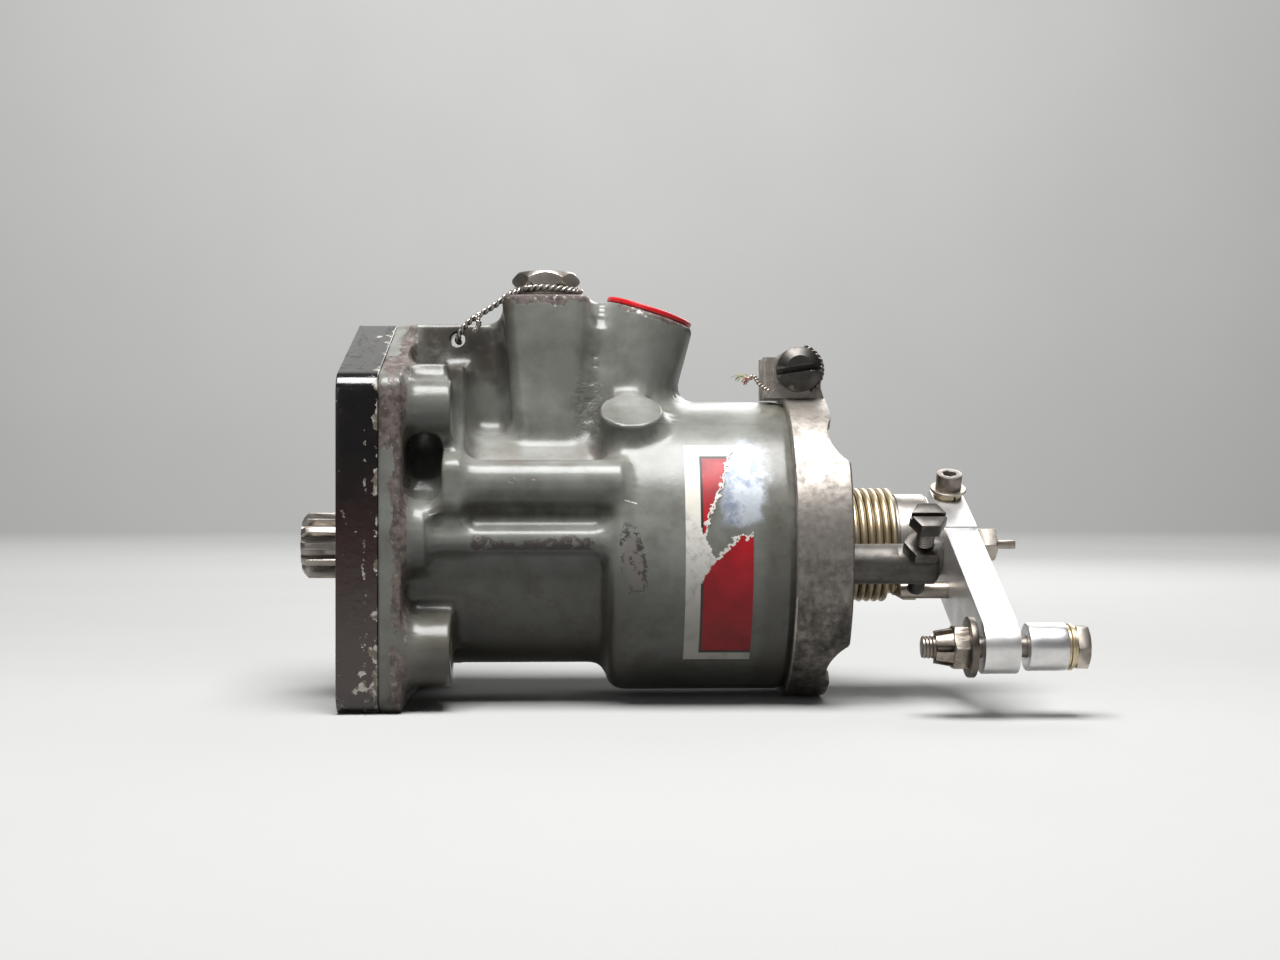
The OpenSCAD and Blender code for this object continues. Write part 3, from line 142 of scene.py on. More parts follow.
# %% [markdown]
# The light is soft and comes from above, as in a light tent. A sun or a spot would give hard
# shadows and pin-point highlights, so each lamp is a panel. A large one overhead gives the long
# highlight on each round form, a weak one in front opens the shadows and one behind draws the
# rear edges. The last lights only the backdrop, and the world fills the rest.


# %% Lights and world
def panel(name, place, aim, size, power):
    """A soft square light at place that looks at aim, in metres."""
    data = bpy.data.lights.new(name, "AREA")
    data.shape = "RECTANGLE"
    data.size = size[0]
    data.size_y = size[1]
    data.energy = power
    lamp = bpy.data.objects.new(name, data)
    bpy.context.scene.collection.objects.link(lamp)
    lamp.location = place
    lamp.rotation_euler = (Vector(aim) - Vector(place)).to_track_quat("-Z", "Y").to_euler()
    print(name, power, "W")


panel("panel_top", (0.05, -0.24, 0.69), (0.07, 0, 0.01), (0.52, 0.46), 11.8)
panel("panel_front", (-0.45, -0.85, 0.3), (0.08, 0, 0), (0.4, 0.5), 0.5)
panel("panel_back", (0.35, 0.55, 0.42), (0.08, 0, 0), (0.5, 0.4), 2.5)
panel("panel_wall", (0.07, 0.5, 1.0), (0.07, 1.7, 0.5), (1.6, 0.4), 22)
world = bpy.data.worlds.new("room")
bpy.context.scene.world = world
world.use_nodes = True
sky = world.node_tree.nodes["Background"]
sky.inputs["Color"].default_value = (0.92, 0.95, 1, 1)
sky.inputs["Strength"].default_value = 0.08
bpy.context.scene.view_settings.view_transform = "Standard"

# %% [markdown]
# A finish could be wired node by node, but long sums read better as sums. `Wire` wraps a node's
# output, and each operator on it adds a Math node to its finish.


# %% Sums on values
class Wire:
    """A node's output on which + - * and / add Math nodes."""

    def __init__(self, finish, socket):
        self.finish = finish
        self.socket = socket

    def math(self, operation, first, second):
        return self.finish.node("ShaderNodeMath", {0: first, 1: second}, operation=operation)

    def __add__(self, other):
        return self.math("ADD", self, other)

    __radd__ = __add__

    def __sub__(self, other):
        return self.math("SUBTRACT", self, other)

    def __rsub__(self, other):
        return self.math("SUBTRACT", other, self)

    def __mul__(self, other):
        return self.math("MULTIPLY", self, other)

    __rmul__ = __mul__

    def __truediv__(self, other):
        return self.math("DIVIDE", self, other)

    def __rtruediv__(self, other):
        return self.math("DIVIDE", other, self)

    def size(self):
        """The value without its sign."""
        return self.math("ABSOLUTE", self, 0)

    def most(self, other):
        """The larger of two values."""
        return self.math("MAXIMUM", self, other)

    def least(self, other):
        """The smaller of two values."""
        return self.math("MINIMUM", self, other)

    def step(self, low, high):
        """0 below low, 1 above high, and smooth between them."""
        found = {"Value": self, "From Min": low, "From Max": high}
        return self.finish.node("ShaderNodeMapRange", found, interpolation_type="SMOOTHSTEP")


# %% [markdown]
# `Finish` holds one material. Every node comes from its `node` method, which takes the node's type,
# its settings and what goes into its sockets. The short methods after it name the nodes used most:
# noise, the axes, the edges, a mix of two colours and a bump.


# %% One material and its nodes
class Finish:
    """One material: a Principled shader and the nodes that feed it."""

    def __init__(self, name, **fixed):
        self.material = bpy.data.materials.new(name)
        self.material.use_nodes = True
        self.tree = self.material.node_tree
        self.shader = self.tree.nodes["Principled BSDF"]
        for key, value in fixed.items():
            self.feed(key.replace("_", " "), value)
        self.place = self.node("ShaderNodeTexCoord", output="Object")

    def plug(self, socket, value):
        """Links a Wire into a socket, or sets the socket to a plain value."""
        if isinstance(value, Wire):
            self.tree.links.new(value.socket, socket)
        else:
            socket.default_value = value

    def feed(self, key, value):
        """Feeds one of the shader's own sockets."""
        self.plug(self.shader.inputs[key], value)

    def node(self, kind, inputs=None, output=0, **settings):
        """Any node, with its settings first and then its sockets' values or links."""
        made = self.tree.nodes.new(kind)
        for key, value in settings.items():
            setattr(made, key, value)
        for key, value in (inputs or {}).items():
            self.plug(made.inputs[key], value)
        return Wire(self, made.outputs[output])

    def noise(self, scale, detail=4, rough=0.55, stretch=(1, 1, 1)):
        """Noise of about 1 / scale metres, centred on 0.5."""
        spot = self.place
        if stretch != (1, 1, 1):
            spot = self.node("ShaderNodeMapping", {"Vector": spot, "Scale": stretch})
        found = {"Vector": spot, "Scale": scale, "Detail": detail, "Roughness": rough}
        return self.node("ShaderNodeTexNoise", found)

    def axes(self):
        """Object coordinates in metres, one Wire for each axis."""
        split = self.node("ShaderNodeSeparateXYZ", {0: self.place}).socket.node
        return [Wire(self, socket) for socket in split.outputs]

    def edge(self):
        """Over 0.5 on outer edges and under it in hollows."""
        return self.node("ShaderNodeNewGeometry", output="Pointiness")

    def mix(self, first, second, share):
        """Colour first where share is 0 and second where it is 1."""
        found = {0: share, 6: first, 7: second}
        return self.node("ShaderNodeMix", found, output=2, data_type="RGBA")

    def bump(self, height, depth, strength=1.0):
        """Tilts the surface as if height, from 0 to 1, rose by depth in metres."""
        found = {"Height": height, "Distance": depth, "Strength": strength}
        self.feed("Normal", self.node("ShaderNodeBump", found))


def colour(red, green, blue):
    """An opaque colour from three levels of light."""
    return (red, green, blue, 1)


def between(value, low, high, soft):
    """1 where value lies from low to high, fading over soft."""
    return value.step(low - soft, low + soft) * (1 - value.step(high - soft, high + soft))


# %% [markdown]
# The floor is pale card. Card of one plain tone would throw so much light up that the body's
# underside loses its shade. So the camera and reflections see it pale, and soft light that
# bounces off it finds it darker, as on a workbench.

# %% Finish of the floor
card = Finish("floor_card", Roughness=0.75)
kinds = ("Is Camera Ray", "Is Glossy Ray", "Is Transmission Ray")
rays = [card.node("ShaderNodeLightPath", output=kind) for kind in kinds]
seen = (rays[0] + rays[1] + rays[2]).least(1.0)
paper_tone = card.mix(colour(0.4, 0.4, 0.39), colour(0.44, 0.44, 0.43), card.noise(6, 3))
card.feed("Base Color", card.mix(colour(0.08, 0.08, 0.08), paper_tone, seen))
card.bump(card.noise(900, 3), 0.0001, 0.3)
floor.data.materials.append(card.material)
print("floor finish", card.material.name)

# %% [markdown]
# The body's enamel is a grey green gloss paint on a sand casting. A painted picture could carry
# its wear, but it would blur up close, so every mark is a mask worked out from place and noise.
# This cell lays the clean paint, the oil that darkens it near the clamp, painted shade low down and in
# the rib's shadow, grime in hollows, and grime with painted shade in the groove under the gallery.


# %% Enamel on the casting
enamel = Finish("enamel", Coat_Roughness=0.2, IOR=1.42)
x, y, z = enamel.axes()
front = 1 - y.step(-0.024, -0.018)
outer = enamel.edge()
drift = enamel.noise(48, 4)
grime = enamel.noise(130, 6, 0.65)
chips = enamel.noise(430, 6, 0.62)
paint = enamel.mix(colour(0.148, 0.151, 0.133), colour(0.226, 0.231, 0.208), drift.step(0.36, 0.64))
by_clamp = between(x, 0.100, 0.13, 0.002)
# Painted shade: the paint is darker low down, and darker on the neck below the rib, where the rib's
# shadow falls.
underside = 1 - z.step(-0.036, 0.002)
rib_shadow_paint = (1 - z.step(-0.008, -0.001)) * between(x, 0.020, 0.067, 0.003)
# This sum joins real grime and the oil by the clamp with that painted shade, all mixed towards one dark
# colour.
darkening = grime.step(0.42, 0.75) * 0.45 + by_clamp * 0.45 + underside * 0.6 + rib_shadow_paint * 0.4
paint = enamel.mix(paint, colour(0.075, 0.068, 0.052), darkening.least(0.9))
crevice = 1 - outer.step(0.45, 0.497)
# Grime and painted shade darken the groove between the gallery and the rib.
groove = between(z, 0.0074, 0.0112, 0.0012) * between(x, 0.022, 0.066, 0.002)
groove = groove * front * (0.6 + grime.step(0.3, 0.6) * 0.4)
hollow = (crevice * grime.step(0.25, 0.65) * 0.85).most(groove * 0.8)
paint = enamel.mix(paint, colour(0.055, 0.05, 0.04), hollow)
print("enamel base nodes", len(enamel.tree.nodes))

# %% [markdown]
# Paint comes off where hands, nuts and benches touch: the flange's rim beside the base plate, the
# top of the tower, the rib, the port's mouth and all outer edges. Pointiness finds the edges.
# Straight limits would look like tape, so noise is added to each place before it is compared, and
# every border is broken up.

# %% Where the enamel has worn
rough_x = x + (grime - 0.5) * 0.006 + (chips - 0.5) * 0.0022
rough_z = z + (grime - 0.5) * 0.012 + (chips - 0.5) * 0.003
broad = enamel.noise(75, 3)
on_rim = 1 - x.step(0.0162, 0.0166)
worn_rim = rough_x.step(0.0127, 0.0131) * on_rim
worn_rim = worn_rim * (broad + (chips - 0.5) * 0.25).step(0.40, 0.42)
high_rim = between(rough_z, 0.0235, 0.039, 0.0003) + between(rough_z, 0.0425, 0.0465, 0.0003)
rim = worn_rim.most(on_rim * high_rim.least(1.0))
tower_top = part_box("relief_gasket")[0].z
lid = (rough_z - (grime - 0.5) * 0.002).step(tower_top - 0.0028, tower_top - 0.0025)
lid = lid * (1 - x.step(0.058, 0.060))
rib = between(rough_x, 0.031, 0.0600, 0.0004) * between(rough_z, -0.0035, 0.0022, 0.0004)
rib = rib * (1 - y.step(-0.0335, -0.033)) * (grime + (chips - 0.5) * 0.5).step(0.34, 0.38)
rubbed = (outer + (chips - 0.5) * 0.1 + (grime - 0.5) * 0.12).step(0.544, 0.568)
spots = chips.step(0.735, 0.75) * 0.8
marks = between(z, 0.0158, 0.0172, 0.0003) * between(rough_x, 0.040, 0.0475, 0.0005)
marks = marks * (1 - y.step(-0.033, -0.032)) * chips.step(0.5, 0.56) * 0.7
port_lean = math.radians(18)
mouth = (x - 0.0743) * math.sin(port_lean) + (z - 0.0582) * math.cos(port_lean)
lip = (mouth + (grime - 0.5) * 0.005 + (chips - 0.5) * 0.0015).step(-0.0016, -0.0013)
lip = lip * between(rough_x, 0.0665, 0.0870, 0.0004)
worn = rim.most(lid).most(rib).most(rubbed).most(spots).most(marks).most(lip).least(1.0)
print("with masks", len(enamel.tree.nodes))

# %% [markdown]
# Where it has worn, the enamel shows brown primer, greyer on the rib, and metal in the worst
# places. Metal alone would look like new scratches, so each layer is mixed over the last. The web by
# the flange is stained dark, pin holes dot the skin, dust lies on the gallery's ledge, and the
# crease by the port keeps the sand's rough skin.

# %% What shows under the enamel
primer = enamel.mix(colour(0.075, 0.058, 0.051), colour(0.165, 0.135, 0.118), chips.step(0.38, 0.62))
primer = enamel.mix(primer, colour(0.088, 0.078, 0.075), rib * 0.8)
paint = enamel.mix(paint, primer, worn)
web = between(x, 0.0165, 0.040, 0.003) * rough_z.step(0.036, 0.047)
paint = enamel.mix(paint, colour(0.055, 0.046, 0.038), web * (grime + broad).step(0.7, 1.05) * 0.9)
bare = worn * enamel.noise(900, 3, 0.5).step(0.6, 0.66) + rubbed * outer.step(0.575, 0.6) * 0.8
bare = (bare * (1 - rim.most(rib) * 0.75)).least(1.0)
paint = enamel.mix(paint, colour(0.45, 0.43, 0.4), bare)
holes = enamel.noise(360, 1).step(0.795, 0.805)
paint = enamel.mix(paint, colour(0.02, 0.018, 0.015), holes * 0.9)
ledge = between(rough_z, 0.0205, 0.0255, 0.0015) * between(x, 0.03, 0.07, 0.002) * grime.step(0.4, 0.62)
paint = enamel.mix(paint, colour(0.16, 0.14, 0.12), ledge * 0.6)
crease = between(x, 0.0555, 0.0630, 0.0012) * between(z, 0.025, 0.042, 0.003)
print("with primer", len(enamel.tree.nodes))

# %% [markdown]
# A patch beside the label was rubbed through to bright metal, with a pale ring of thinned paint
# round it. One noise threshold would make a plain blot. So it is a leaning oval with two borders,
# each eaten by other noise, and the ring lies between them.

# %% Bright patch
blotch = enamel.noise(170, 5, 0.65)
lean = x - 0.0955 - (z - 0.015) * 0.12 + (blotch - 0.5) * 0.011
patch = (1 - (lean / 0.0068).size()).most(0) * front
patch = patch * between(z + (grime - 0.5) * 0.006, 0.0068, 0.0255, 0.003)
core = (patch + (chips - 0.5) * 0.4 + (grime - 0.5) * 0.6).step(0.26, 0.58) * patch.step(0.02, 0.22)
halo = patch.step(0.0, 0.6)
paint = enamel.mix(paint, colour(0.36, 0.39, 0.42), halo * 0.7)
silver = enamel.mix(colour(0.44, 0.47, 0.51), colour(0.2, 0.23, 0.3), blotch.step(0.42, 0.6))
paint = enamel.mix(paint, silver, core * 0.9)
print("with patch", len(enamel.tree.nodes))

# %% [markdown]
# A scar sits by the barrel's shoulder: a smear of primer with a dark broken border. A mould's
# parting line runs along the barrel, and one pale scratch crosses the paint. All three are too
# shallow to model, so they are colour here and bump in the next cell.

# %% Scar, parting line and scratch
scar_x = (x - 0.0694 + (z + 0.003) * 0.12 + (chips - 0.5) * 0.005 + (grime - 0.5) * 0.004) / 0.0026
scar_z = (z + 0.0030 + (grime - 0.5) * 0.004) / 0.0076
scar_r = scar_x * scar_x + scar_z * scar_z
smear = (1 - scar_r.step(0.5, 1.0)) * front
border = between(scar_r, 0.7, 1.5, 0.2) * front * (chips + grime).step(0.93, 1.03)
paint = enamel.mix(paint, colour(0.185, 0.165, 0.16), smear * 0.85)
border_tone = border.most(smear * chips.step(0.58, 0.66)) * 0.85
paint = enamel.mix(paint, colour(0.03, 0.026, 0.024), border_tone)
seam = between(z, 0.0300, 0.0303, 0.00012) * between(x, 0.075, 0.111, 0.002) * front
paint = enamel.mix(paint, colour(0.08, 0.075, 0.065), seam * (0.25 + grime * 0.4))
nick = between(z + (x - 0.069) * 0.28, 0.0112, 0.0115, 0.00015)
nick = nick * between(rough_x, 0.0675, 0.0708, 0.0003) * front * chips.step(0.38, 0.46)
paint = enamel.mix(paint, colour(0.5, 0.5, 0.47), nick)
print("with scar", len(enamel.tree.nodes))

# %% [markdown]
# The masks now feed the shader. Paint hides most of the sand but not all, so a fine bump stays,
# and what has worn off lies a little lower and is duller. Gloss comes from a thin clear coat, which
# ends where the paint does.

# %% The enamel's shader
enamel.feed("Base Color", paint)
dull = worn * 0.2 + core * 0.14 + smear * 0.15 + groove * 0.3
enamel.feed("Roughness", 0.31 + dull + (grime - 0.5) * 0.16)
enamel.feed("Metallic", (bare + core * 0.4).least(1.0) * 0.8)
enamel.feed("Coat Weight", (0.22 - worn * 0.25 - core * 0.2 - groove * 0.25).most(0))
sand = enamel.noise(950, 3, 0.5) * 0.25 + enamel.noise(260, 4, 0.55) * 0.6
sand = sand + enamel.noise(640, 4, 0.65) * crease * 4.0 - worn * 0.3 - border * 0.5 - smear * 0.3
sand = sand + core * chips * 0.25 - holes * 0.6 + seam * 0.3 - nick * 0.5
enamel.bump(sand, 0.00022, 0.5)
print("enamel nodes", len(enamel.tree.nodes))

# %% [markdown]
# The base plate is black enamel with a trace of maroon, chipped along every edge. Cut shapes
# could stand for the chips, but paint is thinner than any mesh, so they are masks. They show tan
# primer and grey metal, and grow towards the lower front corner, where the plate has been set down
# on benches. Its top is scuffed dull.

# %% Black enamel of the base plate
black = Finish("black_enamel", IOR=1.5, Coat_Roughness=0.08)
chips = black.noise(520, 6, 0.62)
broad = black.noise(110, 5, 0.6)
x, y, z = black.axes()
low = 1 - z.step(-0.038, -0.008)
rim = black.edge()
maroon = (broad * 0.6 + (1 - z.step(-0.01, 0.04)) * 0.4).step(0.3, 0.7)
tone = black.mix(colour(0.010, 0.009, 0.009), colour(0.032, 0.016, 0.014), maroon)
flakes = black.noise(240, 5, 0.6)
edges = (rim + (chips - 0.5) * 0.15 + (broad - 0.5) * 0.12 + low * 0.014).step(0.55, 0.57)
joint = x.step(0.0072, 0.0096) * 0.15
row = between(x + (broad - 0.5) * 0.002, 0.0062, 0.0072, 0.0004) * (0.12 - z.step(0.02, 0.04) * 0.08)
scuff = black.noise(330, 6, 0.75, (1, 0.4, 1)).step(0.5, 0.68) * z.step(0.026, 0.036)
specks = (chips + row + scuff * 0.05 + low * 0.04 + (broad - 0.5) * 0.12).step(0.69, 0.705)
flaked = (flakes + joint + low * 0.12 + (broad - 0.5) * 0.2 + (chips - 0.5) * 0.1).step(0.685, 0.695)
worn = edges.most(specks).most(flaked).least(1.0)
under = black.noise(700).step(0.46, 0.56)
under = black.mix(colour(0.14, 0.115, 0.09), colour(0.44, 0.42, 0.38), under)
black.feed("Base Color", black.mix(tone, under, worn))
black.feed("Roughness", 0.14 + worn * 0.35 + (broad - 0.5) * 0.14 + scuff * 0.2)
black.feed("Coat Weight", (0.5 - worn * 0.5 - scuff * 0.35).most(0))
black.bump(black.noise(300) * 0.6 + black.noise(900, 2) * 0.15 - worn * 0.5, 0.0002, 0.5)
print("black enamel nodes", len(black.tree.nodes))

# %% [markdown]
# The bare metals differ in tone and grain and not in how they age. Each could have nodes of its
# own, but one recipe with other numbers keeps them alike: a base colour that drifts between two
# tones, stains in the hollows, bright rubbed edges, and a grain that is either cast, tumbled or
# turned. Turned grain is noise stretched round the axis it was turned on.


# %% One recipe for the metals
def metal(name, tones, rough, darkening=0.5, grain=500, depth=0.00005, stretch=(1, 1, 1), painted_shade_heights=None):
    """A worn metal from three tones: its own, the stain's and the rubbed edge's.

    Two heights in metres may be given last: painted shade, broken by streaks, darkens the metal under
    the first and fades out over the second.
    """
    made = Finish(name)
    drift = made.noise(180, 5, 0.6)
    fine = made.noise(700, 3)
    edge = made.edge()
    patch = (drift + (fine - 0.5) * 0.6).step(0.36, 0.76)
    rubbed = (edge + (drift - 0.5) * 0.1).step(0.53, 0.6)
    look = made.mix(tones[0], tones[2], rubbed)
    look = made.mix(look, tones[1], patch * darkening)
    hollow = 1 - edge.step(0.44, 0.49)
    look = made.mix(look, colour(0.03, 0.027, 0.022), hollow * darkening)
    grime_and_shade_below = hollow * darkening
    # Painted shade: the metal is darker towards the bottom, broken up by streaks and weaker on rubbed
    # edges.
    if painted_shade_heights:
        streak = made.noise(240, 5, 0.65, (1, 1, 0.5))
        painted_shade_below = 1 - (made.axes()[2] + (drift - 0.5) * 0.03).step(painted_shade_heights[0], painted_shade_heights[1])
        painted_shade_below = painted_shade_below * (0.35 + (streak + fine * 0.3).step(0.3, 0.95) * 0.65) * (1 - rubbed * 0.6)
        look = made.mix(look, colour(0.028, 0.024, 0.018), painted_shade_below)
        grime_and_shade_below = grime_and_shade_below + painted_shade_below
    made.feed("Base Color", look)
    made.feed("Metallic", (1.0 - patch * darkening * 0.5 - grime_and_shade_below * 0.4).most(0))
    made.feed("Roughness", rough + (drift - 0.5) * 0.2 + grime_and_shade_below * 0.15)
    made.bump(made.noise(grain, 4, 0.6, stretch), depth, 0.7)
    print(name, len(made.tree.nodes), "nodes")
    return made.material


# %% [markdown]
# Most metals here are greys that lean a little to yellow. Their tones could be picked one by one,
# but three levels and one warmth keep them related. Brightness was chosen beside the picture,
# darkest on the stop screw and brightest on the lever.


# %% The metals
def greys(own, stained, rubbed, warm=0.9):
    """Three tones from three levels of grey, each warmed by the same share."""
    return [colour(v, v * (1 + warm) / 2, v * warm) for v in (own, stained, rubbed)]


steel = metal("spline_steel", greys(0.3, 0.15, 0.6, 0.8), 0.32)
clamp_tones = greys(0.42, 0.15, 0.6, 0.82)
# The clamp takes painted shade on its lower half.
clamp_metal = metal("clamp_stainless", clamp_tones, 0.45, 0.8, 230, 0.00014, painted_shade_heights=(-0.022, 0.024))
dark_cast = metal("dark_cast", greys(0.13, 0.06, 0.2, 0.85), 0.5, 0.6, 420, 0.00014)
dark_steel = metal("dark_steel", greys(0.09, 0.04, 0.3, 0.85), 0.4, 0.6)
tie_metal = metal("tie_wire", greys(0.26, 0.15, 0.5, 0.85), 0.34, 0.6)
cadmium = metal("cadmium_plate", greys(0.4, 0.21, 0.62, 0.76), 0.38, 0.6)
plug_metal = metal("plug_cadmium", greys(0.44, 0.24, 0.66, 0.78), 0.36, 0.6)
nut_metal = metal("nut_bronze_grey", greys(0.14, 0.07, 0.36, 0.74), 0.38, 0.6)
bolt_metal = metal("bolt_cadmium", greys(0.26, 0.13, 0.55, 0.78), 0.38, 0.6)
gold_tones = [colour(0.55, 0.45, 0.29), colour(0.3, 0.22, 0.12), colour(0.74, 0.64, 0.46)]
gold = metal("gold_zinc", gold_tones, 0.36, 0.6, 500, 0.00001)
hub_metal = metal("turned_steel", greys(0.36, 0.17, 0.7, 0.83), 0.34, 0.6, 300, 0.00004, (12, 1, 1))
aluminium = metal("lever_aluminium", greys(0.74, 0.52, 0.9, 0.97), 0.42, 0.35, 380, 0.00006)
spacer_metal = metal("spacer_aluminium", greys(0.7, 0.5, 0.88, 0.98), 0.34, 0.3, 700, 0.00006, (9, 1, 1))
bronze_tones = [colour(0.55, 0.36, 0.17), colour(0.35, 0.22, 0.1), colour(0.75, 0.55, 0.3)]
bronze = metal("bronze", bronze_tones, 0.35)
print("lever's own tone", [round(v, 2) for v in greys(0.74, 0.52, 0.9, 0.97)[0][:3]])

# %% [markdown]
# The shipping cap is soft red plastic, and the seals are black rubber. Neither carries wear that
# shows, so one plain recipe does for both: two close tones, a roughness that drifts a little and
# a faint bump.


# %% Plastic and rubber
def plain(name, tone, shade, rough):
    """A finish without wear, from two close tones."""
    made = Finish(name)
    drift = made.noise(220, 4)
    made.feed("Base Color", made.mix(tone, shade, drift.step(0.35, 0.65)))
    made.feed("Roughness", rough + (drift - 0.5) * 0.2)
    made.bump(made.noise(900, 2), 0.00003, 0.5)
    print(name, len(made.tree.nodes), "nodes")
    return made.material


cap_red = plain("cap_red", colour(0.62, 0.016, 0.022), colour(0.5, 0.01, 0.015), 0.3)
rubber = plain("seal_rubber", colour(0.02, 0.02, 0.02), colour(0.03, 0.03, 0.03), 0.6)

# %% [markdown]
# A solid that comes from CAD has razor edges, and nothing real has. A bevel in the material would
# be cheaper, but it shows only in some renderers, so the edges are bevelled in the mesh. These
# helpers give a piece its finish, apply a modifier and copy a solid with its loose triangles
# merged and its flats made single faces.


# %% Helpers for copies of the solids
def dress(piece, material):
    """Gives a piece its one finish."""
    piece.data.materials.clear()
    piece.data.materials.append(material)


def apply(piece, kind, **settings):
    """Adds one modifier and applies it."""
    only(piece)
    made = piece.modifiers.new(kind.lower(), kind)
    for key, value in settings.items():
        setattr(made, key, value)
    bpy.ops.object.modifier_apply(modifier=made.name)


def copy_of(node, name):
    """A merged copy of a CAD node's mesh as a new object."""
    piece = bpy.data.objects.new(name, nodes[node].data.copy())
    bpy.context.scene.collection.objects.link(piece)
    only(piece)
    bpy.ops.object.mode_set(mode="EDIT")
    bpy.ops.mesh.select_all(action="SELECT")
    bpy.ops.mesh.remove_doubles(threshold=0.000002)
    bpy.ops.mesh.dissolve_limited(angle_limit=math.radians(0.5))
    bpy.ops.object.mode_set(mode="OBJECT")
    return piece


print("the cover's solid has", len(nodes["cover"].data.polygons), "triangles")

# %% [markdown]
# Each visible piece of hardware is a copy of its solid with a small bevel that catches the light
# along each edge. Large faces are then split, because Pointiness is stored on vertices and would
# bleed over a face that has none inside.


# %% Bevelled copies
longest_edge = 3.0
sharp = math.radians(32)


def refine(piece):
    """Splits the long edges, so that wear found at an edge stays beside it."""
    mesh = bmesh.new()
    mesh.from_mesh(piece.data)
    for _ in range(7):
        bmesh.ops.triangulate(mesh, faces=[face for face in mesh.faces if len(face.verts) > 4])
        long = [edge for edge in mesh.edges if edge.calc_length() > longest_edge * MM]
        bmesh.ops.subdivide_edges(mesh, edges=long, cuts=1, use_grid_fill=True)
    bmesh.ops.triangulate(mesh, faces=[face for face in mesh.faces if len(face.verts) > 4])
    mesh.to_mesh(piece.data)
    mesh.free()


def bevelled(node, material, width, segments):
    """A copy of a node with its sharp edges bevelled by width in mm."""
    piece = copy_of(node, node + "_piece")
    apply(piece, "BEVEL", width=width * MM, segments=segments, limit_method="ANGLE", angle_limit=sharp)
    refine(piece)
    only(piece)
    bpy.ops.object.shade_smooth_by_angle(angle=sharp)
    dress(piece, material)
    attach(piece, nodes[node]["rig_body"])
    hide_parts(node)
    print(node, len(piece.data.polygons), "faces")


# %% [markdown]
# The list names each piece, its finish, the bevel's width in mm and its number of steps. Cast and
# milled pieces have the widest bevels, and washers the narrowest.

# %% The hardware
hardware = [
    ("base_plate", black.material, 1.3, 4),
    ("cover", dark_cast, 0.5, 2),
    ("clamp_band", clamp_metal, 0.5, 3),
    ("clamp_screw", dark_steel, 0.25, 2),
    ("clamp_nut", dark_steel, 0.25, 2),
    ("relief_gasket", nut_metal, 0.15, 1),
    ("relief_plug", plug_metal, 0.25, 2),
    ("port_cap", cap_red, 0.35, 3),
    ("drive_shaft", steel, 0.15, 1),
    ("spring_drum", hub_metal, 0.2, 2),
    ("stop_screw", dark_steel, 0.12, 2),
    ("stop_nut", dark_steel, 0.2, 2),
    ("control_lever", aluminium, 0.5, 3),
    ("stop_pin", cadmium, 0.25, 2),
    ("lever_screw", bolt_metal, 0.25, 2),
    ("lever_lock_washer", gold, 0.12, 1),
    ("lever_washer", cadmium, 0.12, 1),
    ("shaft_nut", plug_metal, 0.2, 2),
    ("rod_bolt", bolt_metal, 0.2, 2),
    ("rod_spacer", spacer_metal, 0.3, 2),
    ("rod_thin_washers", gold, 0.1, 1),
    ("rod_washer", nut_metal, 0.2, 2),
    ("castle_nut", nut_metal, 0.2, 2),
    ("control_shaft", cadmium, 0.2, 1),
]
for node, material, width, segments in hardware:
    bevelled(node, material, width, segments)

# %% [markdown]
# The pieces inside, such as the gears, the weights and the pilot valve, could be bevelled too, but
# they show only where a cut opens the body. They keep their own solids, and a fitting metal or
# rubber is enough.

# %% Inner pieces
inner = {
    "drive_bushing": bronze,
    "base_screws": dark_steel,
    "dowel_pins": steel,
    "idler_pin": steel,
    "idler_gear": steel,
    "flyweight_head": dark_steel,
    "head_ring": dark_steel,
    "weight_pins": steel,
    "flyweight_front": bronze,
    "flyweight_back": bronze,
    "pilot_plunger": hub_metal,
    "thrust_bearing": steel,
    "spring_seat": dark_steel,
    "plunger_nut": dark_steel,
    "speeder_nut": bronze,
    "guide_pins": steel,
    "shaft_oring": rubber,
    "cover_oring": rubber,
    "relief_plunger": steel,
}
for node, material in inner.items():
    dress(nodes[node], material)
print("inner pieces", len(inner))

# %% [markdown]
# Two springs inside sit between seats that move, and one that rode on a single body would cut into its
# neighbours. The relief spring stands between its plunger and the plug. The speeder spring is pushed
# from both ends, so it is cut across its middle, which stays still, into one half by the pilot and one
# by the nut that feeds it.


# %% Inner springs
def half_of(piece, middle, keep):
    """Keeps the side of a plane across X at middle on which keep, 1 or -1, points."""
    only(piece)
    bpy.ops.object.mode_set(mode="EDIT")
    bpy.ops.mesh.select_all(action="SELECT")
    bpy.ops.mesh.bisect(plane_co=(middle, 0, 0), plane_no=(keep, 0, 0), use_fill=True, clear_inner=True)
    bpy.ops.object.mode_set(mode="OBJECT")


soft_angle = math.radians(40)
relief_coil = copy_of("relief_spring", "relief_coil")
bpy.ops.object.shade_smooth_by_angle(angle=soft_angle)
dress(relief_coil, steel)
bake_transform(relief_coil)
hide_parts("relief_spring")
speeder_low, speeder_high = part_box("speeder_spring")
speeder_middle = (speeder_low.x + speeder_high.x) / 2
for name, keep, body, start in (
    ("speeder_coil_pilot", -1, "pilot", speeder_low.x), ("speeder_coil_feed", 1, "feed", speeder_high.x)
):
    half = copy_of("speeder_spring", name)
    half_of(half, speeder_middle, keep)
    bpy.ops.object.shade_smooth_by_angle(angle=soft_angle)
    dress(half, dark_steel)
    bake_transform(half)
    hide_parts("speeder_spring")
    print(name, len(half.data.polygons), "faces")

# %% [markdown]
# A casting has no sharp inner corner, because molten metal and sand both need a radius. A bevel
# can't follow corners where so many forms cross. The copy of the body is instead rebuilt in small
# voxels and swollen, which closes its corners, and then shrunk back by as much: outer faces return
# to their place and the corners keep a fillet. The mesh is then thinned to what an export can hold.


# %% Fillets by swelling and shrinking
voxel = 0.75
fillet = 2.0
kept_share = 0.66


